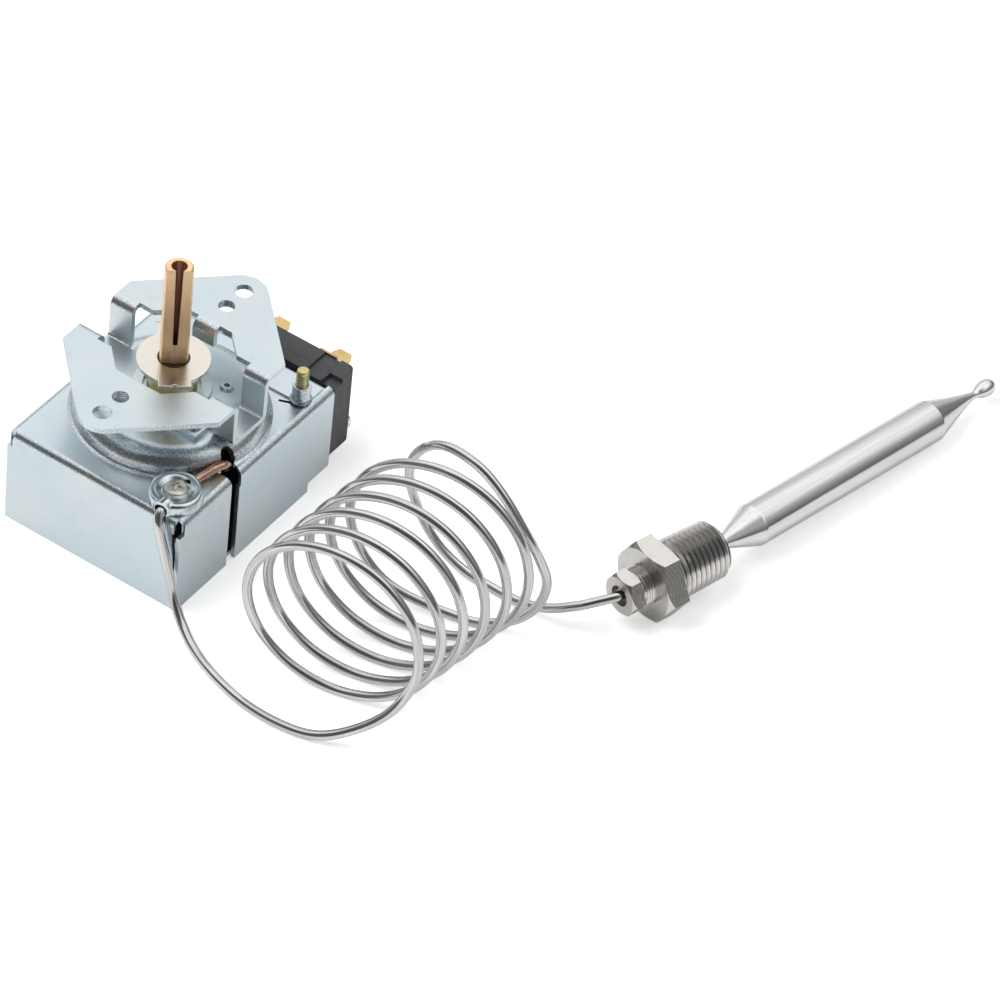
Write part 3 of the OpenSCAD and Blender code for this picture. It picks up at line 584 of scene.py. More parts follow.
@dataclass(frozen=True)
class Moulding(Finish):
    """Dark phenolic moulding with a fine grain and rubbed edges."""

    name: str = "phenolic"
    colour: Point = (0.018, 0.019, 0.022)
    rubbed: Point = (0.085, 0.088, 0.095)

    def paint(self, shade: Shade) -> None:
        """Fills the material's nodes."""
        grain = shade.noise(2400.0)
        dust = shade.noise(150.0, 4.0).rise(0.5, 0.8)
        tone = shade.layers(self.colour, (dust * 0.4 + shade.wear(0.52, 0.58) * 0.5, self.rubbed))
        shade.set(Base_Color=tone, Roughness=0.42 + grain * 0.14, Normal=shade.bump(grain, 0.00003, 0.4))


@dataclass(frozen=True)
class Plain(Finish):
    """A plain plastic, fibre or spring finish with a light mottle."""

    name: str = "plain"
    colour: Point = (0.6, 0.6, 0.6)
    metallic: float = 0.0
    rough: float = 0.45

    def paint(self, shade: Shade) -> None:
        """Fills the material's nodes."""
        mottle = shade.noise(700.0)
        darker = tuple(c * 0.7 for c in self.colour)
        tone = shade.layers(self.colour, (mottle.rise(0.4, 0.7) * 0.5, darker))
        shade.set(Base_Color=tone, Metallic=self.metallic, Roughness=self.rough + (mottle - 0.5) * 0.1,
                  Normal=shade.bump(mottle, 0.00001, 0.4))


FINISHES: dict[Slot, Finish] = {
    Slot.ZINC: ZincPlate(),
    Slot.NICKEL: BrightPlate(),
    Slot.SHAFT: TurnedBrass(),
    Slot.BUSHING: Chromate(),
    Slot.TERMINAL: TurnedBrass("terminal_brass", (0.72, 0.52, 0.20), (0.40, 0.25, 0.08), pitch_m=0.0009,
                               bore_m=0.0),
    Slot.COPPER: Bronzed(),
    Slot.YELLOW: Chromate("yellow_zinc", (0.58, 0.55, 0.16), (0.72, 0.60, 0.32), (0.50, 0.60, 0.40)),
    Slot.SPRING: Plain("spring_wire", (0.55, 0.56, 0.58), 1.0, 0.3),
    Slot.STAINLESS: DrawnSteel("bulb_steel", (0.74, 0.73, 0.72), axis=BULB),
    Slot.CAPILLARY: DrawnSteel(),
    Slot.FITTING: MachinedSteel(),
    Slot.MOULDING: Moulding(),
    Slot.FIBRE: Plain("fibre_sheet", (0.03, 0.03, 0.03), 0.0, 0.7),
    Slot.IVORY: Plain("ivory", (0.74, 0.70, 0.58), 0.0, 0.4),
}
# The pressed cap's zinc, with few painted glints and painted dark reflections on its bends.
PRESSED_ZINC = ZincPlate("zinc_pressing", rough=0.2, bend_speck_and_glint=0.12)
SCREW_CHROMATE = Chromate("screw_passivate", (0.72, 0.73, 0.62), (0.86, 0.84, 0.78), (0.70, 0.76, 0.66))


def linked(name: str, data: Any) -> bpy.types.Object:
    """A new object in the scene's collection."""
    item = bpy.data.objects.new(name, data)
    bpy.context.scene.collection.objects.link(item)
    return item


def evaluated(item: bpy.types.Object, name: str) -> Mesh:
    """A plain mesh of an object with its modifiers, which is then removed.

    Args:
        item: The object.
        name: The new mesh's name.

    Returns:
        The mesh.
    """
    depsgraph = bpy.context.evaluated_depsgraph_get()
    mesh = bpy.data.meshes.new_from_object(item.evaluated_get(depsgraph), depsgraph=depsgraph)
    mesh.name = name
    item.modifiers.clear()
    bpy.data.objects.remove(item)
    return mesh


def finish_mesh(bm: BMesh, name: str, sharp: float = SHARP) -> Mesh:
    """Turns a bmesh into a smooth-shaded mesh.

    Args:
        bm: The bmesh, which is freed.
        name: The mesh's name.
        sharp: Edges that turn by more than this stay sharp.

    Returns:
        The mesh.
    """
    mesh = bpy.data.meshes.new(name)
    for face in bm.faces:
        face.smooth = True
    bm.to_mesh(mesh)
    bm.free()
    mesh.set_sharp_from_angle(angle=math.radians(sharp))
    return mesh


def weigh_normals(mesh: Mesh, limit: float = 40.0) -> Mesh:
    """Turns corner normals towards the larger faces, so that flats look flat beside rounded edges.

    Args:
        mesh: The mesh.
        limit: Faces that differ by more than this don't share a normal.

    Returns:
        The same mesh.
    """
    least = math.cos(math.radians(limit))
    around: list[list[Any]] = [[] for _ in mesh.vertices]
    for face in mesh.polygons:
        for vertex in face.vertices:
            around[vertex].append((face.normal.copy(), face.area))
    normals = []
    for face in mesh.polygons:
        for vertex in face.vertices:
            total = sum((n * area for n, area in around[vertex] if n.dot(face.normal) > least), Vector())
            normals.append(total.normalized() if total.length else face.normal.copy())
    mesh.normals_split_custom_set(normals)
    return mesh


def slice_at(bm: BMesh, level: float) -> None:
    """Cuts the faces of a bmesh at a height."""
    bmesh.ops.bisect_plane(bm, geom=[*bm.verts, *bm.edges, *bm.faces], dist=MERGE_M, plane_co=mm(0, 0, level),
                           plane_no=UP)


def circle(bm: BMesh, r: float, z: float, sides: int, place: Matrix) -> Ring:
    """New vertices in a ring about +Z at a height, or one vertex many times where the radius is 0."""
    if r == 0.0:
        return [bm.verts.new(place @ mm(0, 0, z))] * sides
    return [bm.verts.new(place @ mm(r * math.cos(a), r * math.sin(a), z)) for a in angles(sides)]


def skin(bm: BMesh, rings: Sequence[Ring]) -> list[bmesh.types.BMFace]:
    """Faces from each ring of vertices to the next.

    Args:
        bm: The bmesh that they are added to.
        rings: The rings, all with the same number of vertices.

    Returns:
        The faces, ring after ring.
    """
    faces = []
    for low, high in zip(rings, rings[1:]):
        for k in range(len(low)):
            m = (k + 1) % len(low)
            corners = list(dict.fromkeys((low[k], low[m], high[m], high[k])))
            if len(corners) > 2:
                faces.append(bm.faces.new(corners))
    return faces


def turned(bm: BMesh, profile: Sequence[Pair], sides: int, place: Matrix) -> None:
    """Adds a shape turned about +Z from the radius and height of its rings, closed to its first ring."""
    rings = [circle(bm, r, z, sides, place) for r, z in profile]
    bmesh.ops.recalc_face_normals(bm, faces=skin(bm, rings + rings[:1]))


def closed_skin(bm: BMesh, rings: Sequence[Ring], name: str, sharp: float = SHARP) -> Mesh:
    """A mesh from rings that start in one point and end in a flat face.

    Args:
        bm: The bmesh with the rings, which is freed.
        rings: The rings.
        name: The mesh's name.
        sharp: Edges that turn by more than this stay sharp.

    Returns:
        The mesh.
    """
    skin(bm, rings)
    bm.faces.new(rings[-1])
    bmesh.ops.remove_doubles(bm, verts=bm.verts, dist=MERGE_M)
    bmesh.ops.recalc_face_normals(bm, faces=bm.faces)
    return finish_mesh(bm, name, sharp)


def joined(parts: Sequence[Mesh], name: str) -> Mesh:
    """Several meshes as one."""
    bm = bmesh.new()
    for part in parts:
        bm.from_mesh(part)
    return finish_mesh(bm, name)


def cut_away(whole: Mesh, cutter: Mesh, name: str) -> Mesh:
    """A mesh with another mesh's space cut out of it.

    Args:
        whole: The mesh.
        cutter: The mesh that is cut away.
        name: The new mesh's name.

    Returns:
        The mesh.
    """
    tool = linked(f"{name}_tool", cutter)
    body = linked(f"{name}_body", whole)
    cut = body.modifiers.new("cut", "BOOLEAN")
    cut.operation = "DIFFERENCE"
    cut.solver = "EXACT"
    cut.object = tool
    mesh = evaluated(body, name)
    bpy.data.objects.remove(tool)
    mesh.set_sharp_from_angle(angle=math.radians(SHARP))
    return mesh


def smooth_route(points: Sequence[Point], steps: int) -> list[Vector]:
    """A smooth curve through points, as the frame's tubes are drawn.

    Args:
        points: The route's points.
        steps: Points for each stretch.

    Returns:
        The curve's points in metres.
    """
    pts = [mm(*p) for p in points]
    out: list[Vector] = []
    last = len(pts) - 1
    for i in range(last):
        a, b, c, d = pts[max(0, i - 1)], pts[i], pts[i + 1], pts[min(last, i + 2)]
        for t in (k / steps for k in range(steps)):
            bend = (2 * a - 5 * b + 4 * c - d) * t * t + (3 * b - a - 3 * c + d) * t ** 3
            out.append(0.5 * (2 * b + (c - a) * t + bend))
    return [*out, pts[last]]


def line_length(points: Sequence[Vector]) -> float:
    """The length of a line of points."""
    return sum((b - a).length for a, b in zip(points, points[1:]))


def evened(points: Sequence[Vector], gap: float) -> list[Vector]:
    """The same line with its points an even distance apart.

    Args:
        points: The line.
        gap: Distance between points, in the line's own unit.

    Returns:
        The new points.
    """
    total = line_length(points)
    count = max(2, round(total / gap))
    target = step = total / count
    out = [points[0].copy()]
    walked = 0.0
    for a, b in zip(points, points[1:]):
        length = (b - a).length
        while walked + length >= target - 1e-12 and len(out) < count:
            out.append(a.lerp(b, (target - walked) / length))
            target += step
        walked += length
    return [*out, points[-1].copy()]


def tube_mesh(points: Sequence[Vector], radius: float, sides: int, name: str) -> Mesh:
    """A closed round tube along a line, with its length in U and its girth in V.

    Args:
        points: The line in metres.
        radius: The tube's radius in metres.
        sides: Faces round it.
        name: The mesh's name.

    Returns:
        The mesh.
    """
    uv_per_metre = 100.0
    bm = bmesh.new()
    uv = bm.loops.layers.uv.new("UVMap")
    neighbours = zip([points[0], *points], [*points[1:], points[-1]])
    ways = [(ahead - behind).normalized() for behind, ahead in neighbours]
    side = ways[0].cross(UP if abs(ways[0].z) < 0.9 else Vector((0, 1, 0))).normalized()
    rings: list[Ring] = []
    lengths: list[float] = []
    for i, (point, way) in enumerate(zip(points, ways)):
        side = (side - way * side.dot(way)).normalized()
        up = way.cross(side)
        rings.append([bm.verts.new(point + radius * (math.cos(a) * side + math.sin(a) * up))
                      for a in angles(sides)])
        lengths.append(lengths[-1] + (point - points[i - 1]).length if i else 0.0)
    for count, face in enumerate(skin(bm, rings)):
        i, k = divmod(count, sides)
        for loop, (u, v) in zip(face.loops, ((i, k), (i, k + 1), (i + 1, k + 1), (i + 1, k))):
            loop[uv].uv = (lengths[u] * uv_per_metre, v / sides)
    bm.faces.new(list(reversed(rings[0])))
    bm.faces.new(rings[-1])
    bmesh.ops.recalc_face_normals(bm, faces=bm.faces)
    return finish_mesh(bm, name, ROUND_SHARP)


class GeoTree(Tree):
    """A Geometry Nodes tree with named inputs."""

    def __init__(self, name: str) -> None:
        """Starts a tree with a name."""
        super().__init__(bpy.data.node_groups.new(name, "GeometryNodeTree"))
        for way in ("OUTPUT", "INPUT"):
            self.tree.interface.new_socket("Geometry", in_out=way, socket_type="NodeSocketGeometry")
        self.source = self.add("NodeGroupInput")
        self.values: dict[str, float] = {}

    def ask(self, name: str, value: float) -> Any:
        """Adds a named input, keeps the value that it gets and returns its socket inside the tree."""
        self.tree.interface.new_socket(name, in_out="INPUT", socket_type="NodeSocketFloat")
        self.values[name] = value
        return self.source.outputs[name]

    def bake(self, geometry: Any, finish: Finish, name: str) -> Mesh:
        """Ends the tree and turns its result into a plain mesh.

        Args:
            geometry: The tree's last geometry socket.
            finish: The finish that it sets.
            name: The new mesh's name.

        Returns:
            The mesh.
        """
        real = self.add("GeometryNodeRealizeInstances", {0: geometry}).outputs[0]
        dressed = self.add("GeometryNodeSetMaterial", {"Geometry": real, "Material": finish.material()})
        self.add("NodeGroupOutput", {0: dressed.outputs[0]})
        holder = linked(f"{name}_holder", bpy.data.meshes.new(f"{name}_seed"))
        modifier = holder.modifiers.new("tree", "NODES")
        modifier.node_group = self.tree
        for item in self.tree.interface.items_tree:
            if item.in_out == "INPUT" and item.name in self.values:
                modifier[item.identifier] = self.values[item.name]
        return evaluated(holder, name)


@dataclass(frozen=True)
class Thread:
    """A screw thread's ridge along +Z, from a spiral that carries a diamond profile."""

    name: str
    start_r: float
    end_r: float
    pitch: float
    turns: float
    depth: float
    resolution: int = 40

    def mesh(self, finish: Finish, place: Matrix) -> Mesh:
        """Makes the ridge.

        Args:
            finish: Its finish.
            place: Its place.

        Returns:
            The mesh.
        """
        tree = GeoTree(f"{self.name}_tree")
        spiral = tree.add("GeometryNodeCurveSpiral", {
            "Resolution": self.resolution, "Rotations": tree.ask("Turns", self.turns),
            "Start Radius": tree.ask("Start Radius", self.start_r * MM),
            "End Radius": tree.ask("End Radius", self.end_r * MM),
            "Height": tree.ask("Height", self.pitch * self.turns * MM)}).outputs[0]
        curve = tree.add("GeometryNodeSetCurveNormal", {"Curve": spiral}, mode="Z_UP").outputs[0]
        diamond = tree.add("GeometryNodeCurvePrimitiveCircle", {
            "Resolution": 4, "Radius": tree.ask("Depth", self.depth * MM)}, mode="RADIUS").outputs[0]
        ridge = tree.add("GeometryNodeCurveToMesh", {
            "Curve": curve, "Profile Curve": diamond, "Fill Caps": True})
        mesh = tree.bake(ridge.outputs[0], finish, self.name)
        mesh.transform(place)
        return mesh


@dataclass
class Shop:
    """Dresses and places pieces."""

    frame: dict[str, Any]
    pieces: list[str] = field(default_factory=list)

    def slot_of(self, node: str) -> Slot:
        """The material slot of a CAD node."""
        parts = self.frame["record"]["subparts"]
        return next(Slot(part["material_slot"]) for part in parts if part["node"] == node)

    def body_of(self, node: str) -> Body:
        """The body that a CAD node rides on."""
        bodies = self.frame["record"]["behaviour"]["bodies"]
        return next(Body(name) for name, nodes in bodies.items() if node in nodes)

    def place(self, mesh: Mesh, name: str, *nodes: str, finish: Finish | None = None) -> bpy.types.Object:
        """Puts a finished mesh in the scene.

        Args:
            mesh: The mesh, in its place, in metres.
            name: The piece's name.
            nodes: The CAD nodes that it replaces; the first gives its slot and its body.
            finish: A finish in place of its slot's own.

        Returns:
            The new object.
        """
        slot = self.slot_of(nodes[0])
        body = self.body_of(nodes[0])
        mesh.name = name
        mesh.materials.clear()
        mesh.materials.append((finish or FINISHES[slot]).material())
        piece = linked(name, mesh)
        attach(piece, body.value)
        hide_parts(*nodes)
        self.pieces.append(name)
        LOG.info("%s: %d faces on %s", name, len(mesh.polygons), body.value)
        return piece

    def keep(self, *nodes: str) -> None:
        """Leaves CAD nodes as they are and gives them their finishes."""
        for node in nodes:
            finish = FINISHES[self.slot_of(node)].material()
            for slot in self.frame["nodes"][node].material_slots:
                slot.material = finish
            LOG.info("%s: kept", node)

    def merged(self, node: str) -> BMesh:
        """A copy of a CAD node's mesh with its doubles merged and its flat faces joined."""
        bm = bmesh.new()
        bm.from_mesh(self.frame["nodes"][node].data)
        bmesh.ops.remove_doubles(bm, verts=bm.verts, dist=2 * MERGE_M)
        bmesh.ops.dissolve_limit(bm, angle_limit=math.radians(FLAT), verts=bm.verts, edges=bm.edges)
        return bm

    def softened(self, width: float, *nodes: str, segments: int = 2,
                 change: Callable[[BMesh], None] | None = None) -> None:
        """Stands for CAD nodes with their sharp edges rounded.

        Args:
            width: Width of the rounded edge.
            nodes: The CAD nodes.
            segments: Faces across the edge.
            change: What else is done to a mesh before its edges are rounded.
        """
        for node in nodes:
            bm = self.merged(node)
            if change is not None:
                change(bm)
            least = math.radians(SOFTEN_FROM)
            edges = [e for e in bm.edges if len(e.link_faces) == 2 and e.calc_face_angle(0.0) > least]
            bmesh.ops.bevel(bm, geom=edges, offset=width * MM, segments=segments, profile=0.5, affect="EDGES",
                            clamp_overlap=True, loop_slide=True)
            self.place(weigh_normals(finish_mesh(bm, f"{node}_look")), f"{node}_look", node)


@dataclass(frozen=True)
class Lamp:
    """A rectangular lamp, with its place and sizes, and its power in watts."""

    name: str
    at: Point
    width: float
    height: float
    power: float


@dataclass
class Studio:
    """Floor, background, lamps and the camera of the photograph."""

    camera_at: Point = (511.24, -744.31, 818.47)
    azimuth: float = 29.803
    elevation: float = 43.391
    roll: float = 6.93
    focal_px: float = 5636.109
    picture_px: float = 1000.0
    sensor: float = 36.0
    aim: Point = (45.0, 20.0, -30.0)
    even_grey: float = 0.30
    front_grey: float = 0.17
    near_grey: float = 0.09
    to_camera: Point = (0.361, -0.631, 0.687)
    right_sky: Pairs = ((0.0, 0.12), (0.10, 0.13), (0.33, 0.24), (0.53, 0.42), (0.69, 0.84), (0.82, 1.04),
                        (1.0, 1.05))
    left_sky: Pairs = ((0.0, 0.45), (0.18, 0.58), (0.51, 0.70), (0.69, 1.0), (0.82, 1.0), (1.0, 1.0))
    sky_gain: float = 1.17
    floor_grey: float = 0.80
    floor_glow: float = 0.50
    floor_mirrored: float = 0.08
    floor_half: float = 3000.0
    floor_drop: float = 0.02
    lamps: tuple[Lamp, ...] = (Lamp("key", (-260.0, -220.0, 600.0), 620.0, 520.0, 5.4),
                               Lamp("fill", (380.0, 380.0, 520.0), 420.0, 320.0, 1.1))

    def build(self) -> None:
        """Sets up everything round the object."""
        self.camera()
        self.world()
        self.floor()
        for lamp in self.lamps:
            self.light(lamp)
        bpy.context.scene.view_settings.view_transform = "Standard"

    def camera(self) -> None:
        """Places the camera."""
        a, e, r = (math.radians(angle) for angle in (self.azimuth, self.elevation, self.roll))
        back = Vector((math.sin(a) * math.cos(e), -math.cos(a) * math.cos(e), math.sin(e)))
        right = Vector((math.cos(a), math.sin(a), 0.0))
        up = back.cross(right)
        right, up = math.cos(r) * right + math.sin(r) * up, -math.sin(r) * right + math.cos(r) * up
        data = bpy.data.cameras.new("camera")
        data.sensor_fit = "HORIZONTAL"
        data.sensor_width = self.sensor
        data.lens = self.focal_px * self.sensor / self.picture_px
        data.clip_start = 0.05
        data.clip_end = 20.0
        camera = linked("camera", data)
        turn = Matrix((right, up, back)).transposed().to_4x4()
        camera.matrix_world = Matrix.Translation(mm(*self.camera_at)) @ turn
        bpy.context.scene.camera = camera

    def world(self) -> None:
        """White where it is seen, even where it lights, and a room of soft boxes where metal reflects it."""
        world = bpy.data.worlds.new("studio")
        bpy.context.scene.world = world
        graph = Graph(world)
        x, y, z = graph.split(graph.add("ShaderNodeTexCoord").outputs["Generated"])
        right, left = (graph.ramp(z, *sky) * self.sky_gain for sky in (self.right_sky, self.left_sky))
        near = x * self.to_camera[0] + y * self.to_camera[1] + z * self.to_camera[2]
        room = graph.layers(right, (x.rise(0.15, -0.30), left),
                            (y.rise(-0.12, -0.46) * z.rise(0.95, 0.80), (self.front_grey,) * 3),
                            (near.rise(0.70, 0.93), (self.near_grey,) * 3))
        path = graph.add("ShaderNodeLightPath").outputs
        seen = Val(graph, path["Is Camera Ray"]).op("ADD", path["Is Transmission Ray"], clamp=True)
        colour = graph.layers((self.even_grey,) * 3, (path["Is Glossy Ray"], room), (seen, (1.0, 1.0, 1.0)))
        light = graph.add("ShaderNodeBackground", {"Color": colour, "Strength": 1.0})
        graph.add("ShaderNodeOutputWorld", {0: light.outputs[0]})

    def floor(self) -> None:
        """A pale floor that stays white to the camera and keeps a soft shadow."""
        bm = bmesh.new()
        bmesh.ops.create_grid(bm, x_segments=1, y_segments=1, size=self.floor_half * MM)
        bmesh.ops.translate(bm, vec=mm(0, 0, FLOOR_Z - self.floor_drop), verts=bm.verts)
        floor = linked("floor", finish_mesh(bm, "floor"))
        material = bpy.data.materials.new("pale_floor")
        graph = Graph(material)
        path = graph.add("ShaderNodeLightPath").outputs
        seen, mirrored = (Val(graph, path[f"Is {kind} Ray"]) for kind in ("Camera", "Glossy"))
        matt = graph.add("ShaderNodeBsdfDiffuse", {"Color": (self.floor_grey,) * 3})
        lift = seen * self.floor_glow + mirrored * self.floor_mirrored
        glow = graph.add("ShaderNodeEmission", {"Strength": lift})
        both = graph.add("ShaderNodeAddShader", {0: matt.outputs[0], 1: glow.outputs[0]})
        graph.add("ShaderNodeOutputMaterial", {0: both.outputs[0]})
        floor.data.materials.append(material)

    def light(self, lamp: Lamp) -> None:
        """Adds one lamp that looks at the object and isn't mirrored in it."""
        data = bpy.data.lights.new(lamp.name, "AREA")
        data.shape = "RECTANGLE"
        data.size = lamp.width * MM
        data.size_y = lamp.height * MM
        data.energy = lamp.power
        item = linked(lamp.name, data)
        way = mm(*self.aim) - mm(*lamp.at)
        turn = way.to_track_quat("-Z", "Y").to_matrix().to_4x4()
        item.matrix_world = Matrix.Translation(mm(*lamp.at)) @ turn
        item.visible_glossy = False


@dataclass
class Capillary:
    """The one capillary tube: its lead from the clamp, its coil and its tail into the gland."""

    shop: Shop
    diameter: float = 2.2
    plate_gap: float = 1.2
    start_x: float = 64.88
    start_y: float = -31.02
    azimuth: float = 83.0
    advance: float = 6.687
    radius: float = 21.3
    growth: float = 0.19
    lean: Pair = (0.984, 0.177)
    last_turn: float = 5.66
    turn_points: int = 12
    gland_stations: tuple[float, ...] = (0, 5, 10, 15, 20)
    smooth_steps: int = 8
    gap: float = 1.1
    sides: int = 14

    def lead(self) -> list[Point]:
        """The lead's points, as in the frame."""
        z, low = PLATE_Z + self.plate_gap, FLOOR_Z + self.diameter / 2
        return [(18.3, -24.7, z), (18.3, -27, z), (18.8, -29.3, z - 1.4), (20, -29.9, z - 4.8),
                (21.6, -29.9, -26), (23.3, -30, -31.4), (25.6, -30.9, -36.6), (29.6, -33, -39.9),
                (35, -36, -41.2), (43, -39.4, low), (52.5, -41.8, low), (62, -42, low), (70, -40.4, -40.8),
                (76.4, -37.2, -38), (82.2, -32.8, -33.2), (85.2, -29.4, -27)]

    def coil(self) -> list[Point]:
        """The coil's points: turns that lean as they lie and grow a little."""
        low, out = FLOOR_Z + self.diameter / 2, []
        way = math.radians(self.azimuth)
        for turn in (i / self.turn_points for i in range(round(self.last_turn * self.turn_points) + 1)):
            a, r = math.tau * turn, self.radius + self.growth * turn
            out.append((self.start_x + self.advance * turn * math.cos(way) + self.lean[0] * r * math.cos(a),
                        self.start_y + self.advance * turn * math.sin(way) + self.lean[1] * r * math.cos(a),
                        low + r + r * math.sin(a)))
        return out

    def tail(self) -> list[Point]:
        """The tail's points, with the last loop, as in the frame."""
        low = FLOOR_Z + self.diameter / 2
        return [(73.8, 8.9, low), (80, 11.4, -40.8), (85.6, 13.4, -37.4), (89.6, 14, -31), (91.2, 13.4, -23),
                (89.6, 11.6, -15.5), (85.8, 10.4, -8.6), (80.6, 10.2, -2.6), (74.3, 10.8, 1.2),
                (68.2, 11.2, 2.4), (63, 11.6, 1.6), (58.6, 12.2, -1.8), (55, 13.4, -7.6), (52.8, 15.6, -15),
                (52.8, 17.8, -23), (55.6, 19.2, -31), (60.2, 20.2, -37.2), (66.4, 21, -40.9), (73.5, 21, low),
                (80.5, 20.8, -41), (87.4, 21.4, -39.2), (93.2, 23.8, -36.8), (97.2, 26.9, -35.1)]

    def build(self) -> None:
        """Makes the tube and declares it as the object's cord."""
        route = [*self.lead(), *self.coil(), *self.tail(), *map(GLAND.at, self.gland_stations)]
        points = evened(smooth_route(route, self.smooth_steps), self.gap * MM)
        length = line_length(points)
        mesh = tube_mesh(points, self.diameter / 2 * MM, self.sides, "capillary_tube")
        piece = self.shop.place(mesh, "capillary_tube", "capillary_lead", "capillary_coil", "capillary_tail")
        LOG.info("capillary: %.3f m", length)


@dataclass
class Casing:
    """Folded housing with its dome, its bottom plate, and the bracket and rivets on it."""

    shop: Shop
    foot_r: float = 22.4
    foot_h: float = 1.7
    top_r: float = 16.6
    flank_r: float = 4.1
    flank_low: float = 0.9
    swell: float = 1.16
    fillet: float = 0.35
    fillet_r: float = 21.75
    near: float = 0.05
    tapped_y: float = 19.05
    tapped_r: float = 1.87
    ear_t: float = 1.4
    sleeve_t: float = 0.6
    sleeve_low: float = 2.0
    sleeve_sides: int = 40
    lip: float = 0.15
    lip_h: float = 0.1
    sheet_edge: float = 0.22
    bracket_edge: float = 0.16
    rivet_edge: float = 0.15

    def drawn_foot(self, bm: BMesh) -> None:
        """Swells the dome's flank and leaves a small fillet at its foot, as drawing does."""
        slice_at(bm, PLATE_Z + self.fillet)
        for v in bm.verts:
            r, up = math.hypot(v.co.x, v.co.y) / MM, v.co.z / MM - PLATE_Z
            if up < self.foot_h + 0.01:
                outside = r + up > self.foot_r - self.near
            else:
                outside = math.hypot(r - self.top_r, up - self.flank_low) > self.flank_r
            if up < self.near or r < self.top_r + self.near or r > self.foot_r or not outside:
                continue
            on_slope = up < self.foot_h - self.near and abs(r + up - self.foot_r) < self.near
            new = self.fillet_r if on_slope else self.top_r + (r - self.top_r) * self.swell
            v.co.x *= new / r
            v.co.y *= new / r

    def tapped(self, bm: BMesh) -> None:
        """Adds the drawn sleeve and the cut thread of the two tapped holes."""
        r, root, low = self.tapped_r, self.near - self.ear_t, -self.sleeve_low
        sleeve = [(r, root), (r, low), (r + self.lip, low - self.lip_h), (r + self.sleeve_t - self.lip, low),
                  (r + self.sleeve_t, root)]
        for side in (-1, 1):
            place = Matrix.Translation(mm(0, side * self.tapped_y, 0))
            turned(bm, sleeve, self.sleeve_sides, place)
            thread = Thread(f"tapped_ridge_{side}", r, r, pitch=0.6, turns=2.9, depth=0.2)
            start = Matrix.Translation(mm(0, 0, low + self.near))
            bm.from_mesh(thread.mesh(FINISHES[Slot.ZINC], place @ start))

    def build(self) -> None:
        """Makes the casing's pieces."""
        self.shop.softened(self.sheet_edge, "housing", change=self.drawn_foot)
        self.shop.softened(self.bracket_edge, "mounting_bracket", change=self.tapped)
        self.shop.softened(self.rivet_edge, "bracket_rivets")
        self.shop.keep("base_plate")


@dataclass
class Spindle:
    """Shaft, its bearing and its stop washer."""

    shop: Shop
    flat_turn: float = -51.5
    flat_at: float = 1.575
    slot_half: float = 0.82
    slot_end_half: float = 0.50
    closed_half: float = 0.001
    slot_low: float = 3.1
    slot_step: float = 0.06
    full_above: float = 0.1
    slit_half: float = 0.8
    near_flat: float = 0.03
    bushing_edge: float = 0.2
    shaft_edge: float = 0.08
    washer_edge: float = 0.15

    def slotted(self, bm: BMesh) -> None:
        """Tapers the slot in the flat towards its end and closes the flat below it."""
        turn = Matrix.Rotation(math.radians(self.flat_turn), 4, "Z")
        for level in (self.slot_low, self.slot_low - self.slot_step):
            slice_at(bm, level)
        for v in bm.verts:
            x, y, z = turn.inverted() @ v.co / MM
            if abs(x - self.flat_at) > self.near_flat or abs(y) > self.slit_half:
                continue
            half = self.slot_half if z > self.slot_low + self.full_above else self.slot_end_half
            if z < self.slot_low - self.slot_step / 2:
                half = self.closed_half
            v.co = turn @ mm(self.flat_at, math.copysign(half, y), z)

    def build(self) -> None:
        """Makes the spindle's pieces."""
        self.shop.softened(self.bushing_edge, "bushing")
        self.shop.softened(self.shaft_edge, "shaft", change=self.slotted)
        self.shop.softened(self.washer_edge, "stop_washer")
        self.shop.keep("retaining_ring", "calibration_screw")


@dataclass
class Works:
    """What is inside: the carrier, the capsule and the lever."""

    shop: Shop

    def build(self) -> None:
        """Dresses the inner pieces."""
        self.shop.keep("carrier_nut", "guide_pin", "diaphragm_capsule", "capsule_button", "switch_lever",
                       "lever_pin", "lever_bracket", "lever_screw", "return_spring")


@dataclass
class SwitchBlock:
    """The snap switch with its terminals and screws."""

    shop: Shop
    moulded_edge: float = 0.3
    metal_edge: float = 0.12
    screw_edge: float = 0.15

    def build(self) -> None:
        """Makes the switch's pieces."""
        self.shop.softened(self.moulded_edge, "switch_body", "switch_cover", segments=3)
        self.shop.softened(self.metal_edge, "terminal_left", "terminal_right", "contact_strip")
        self.shop.softened(self.screw_edge, "switch_screws")
        self.shop.keep("switch_plunger", "insulator_sheet")


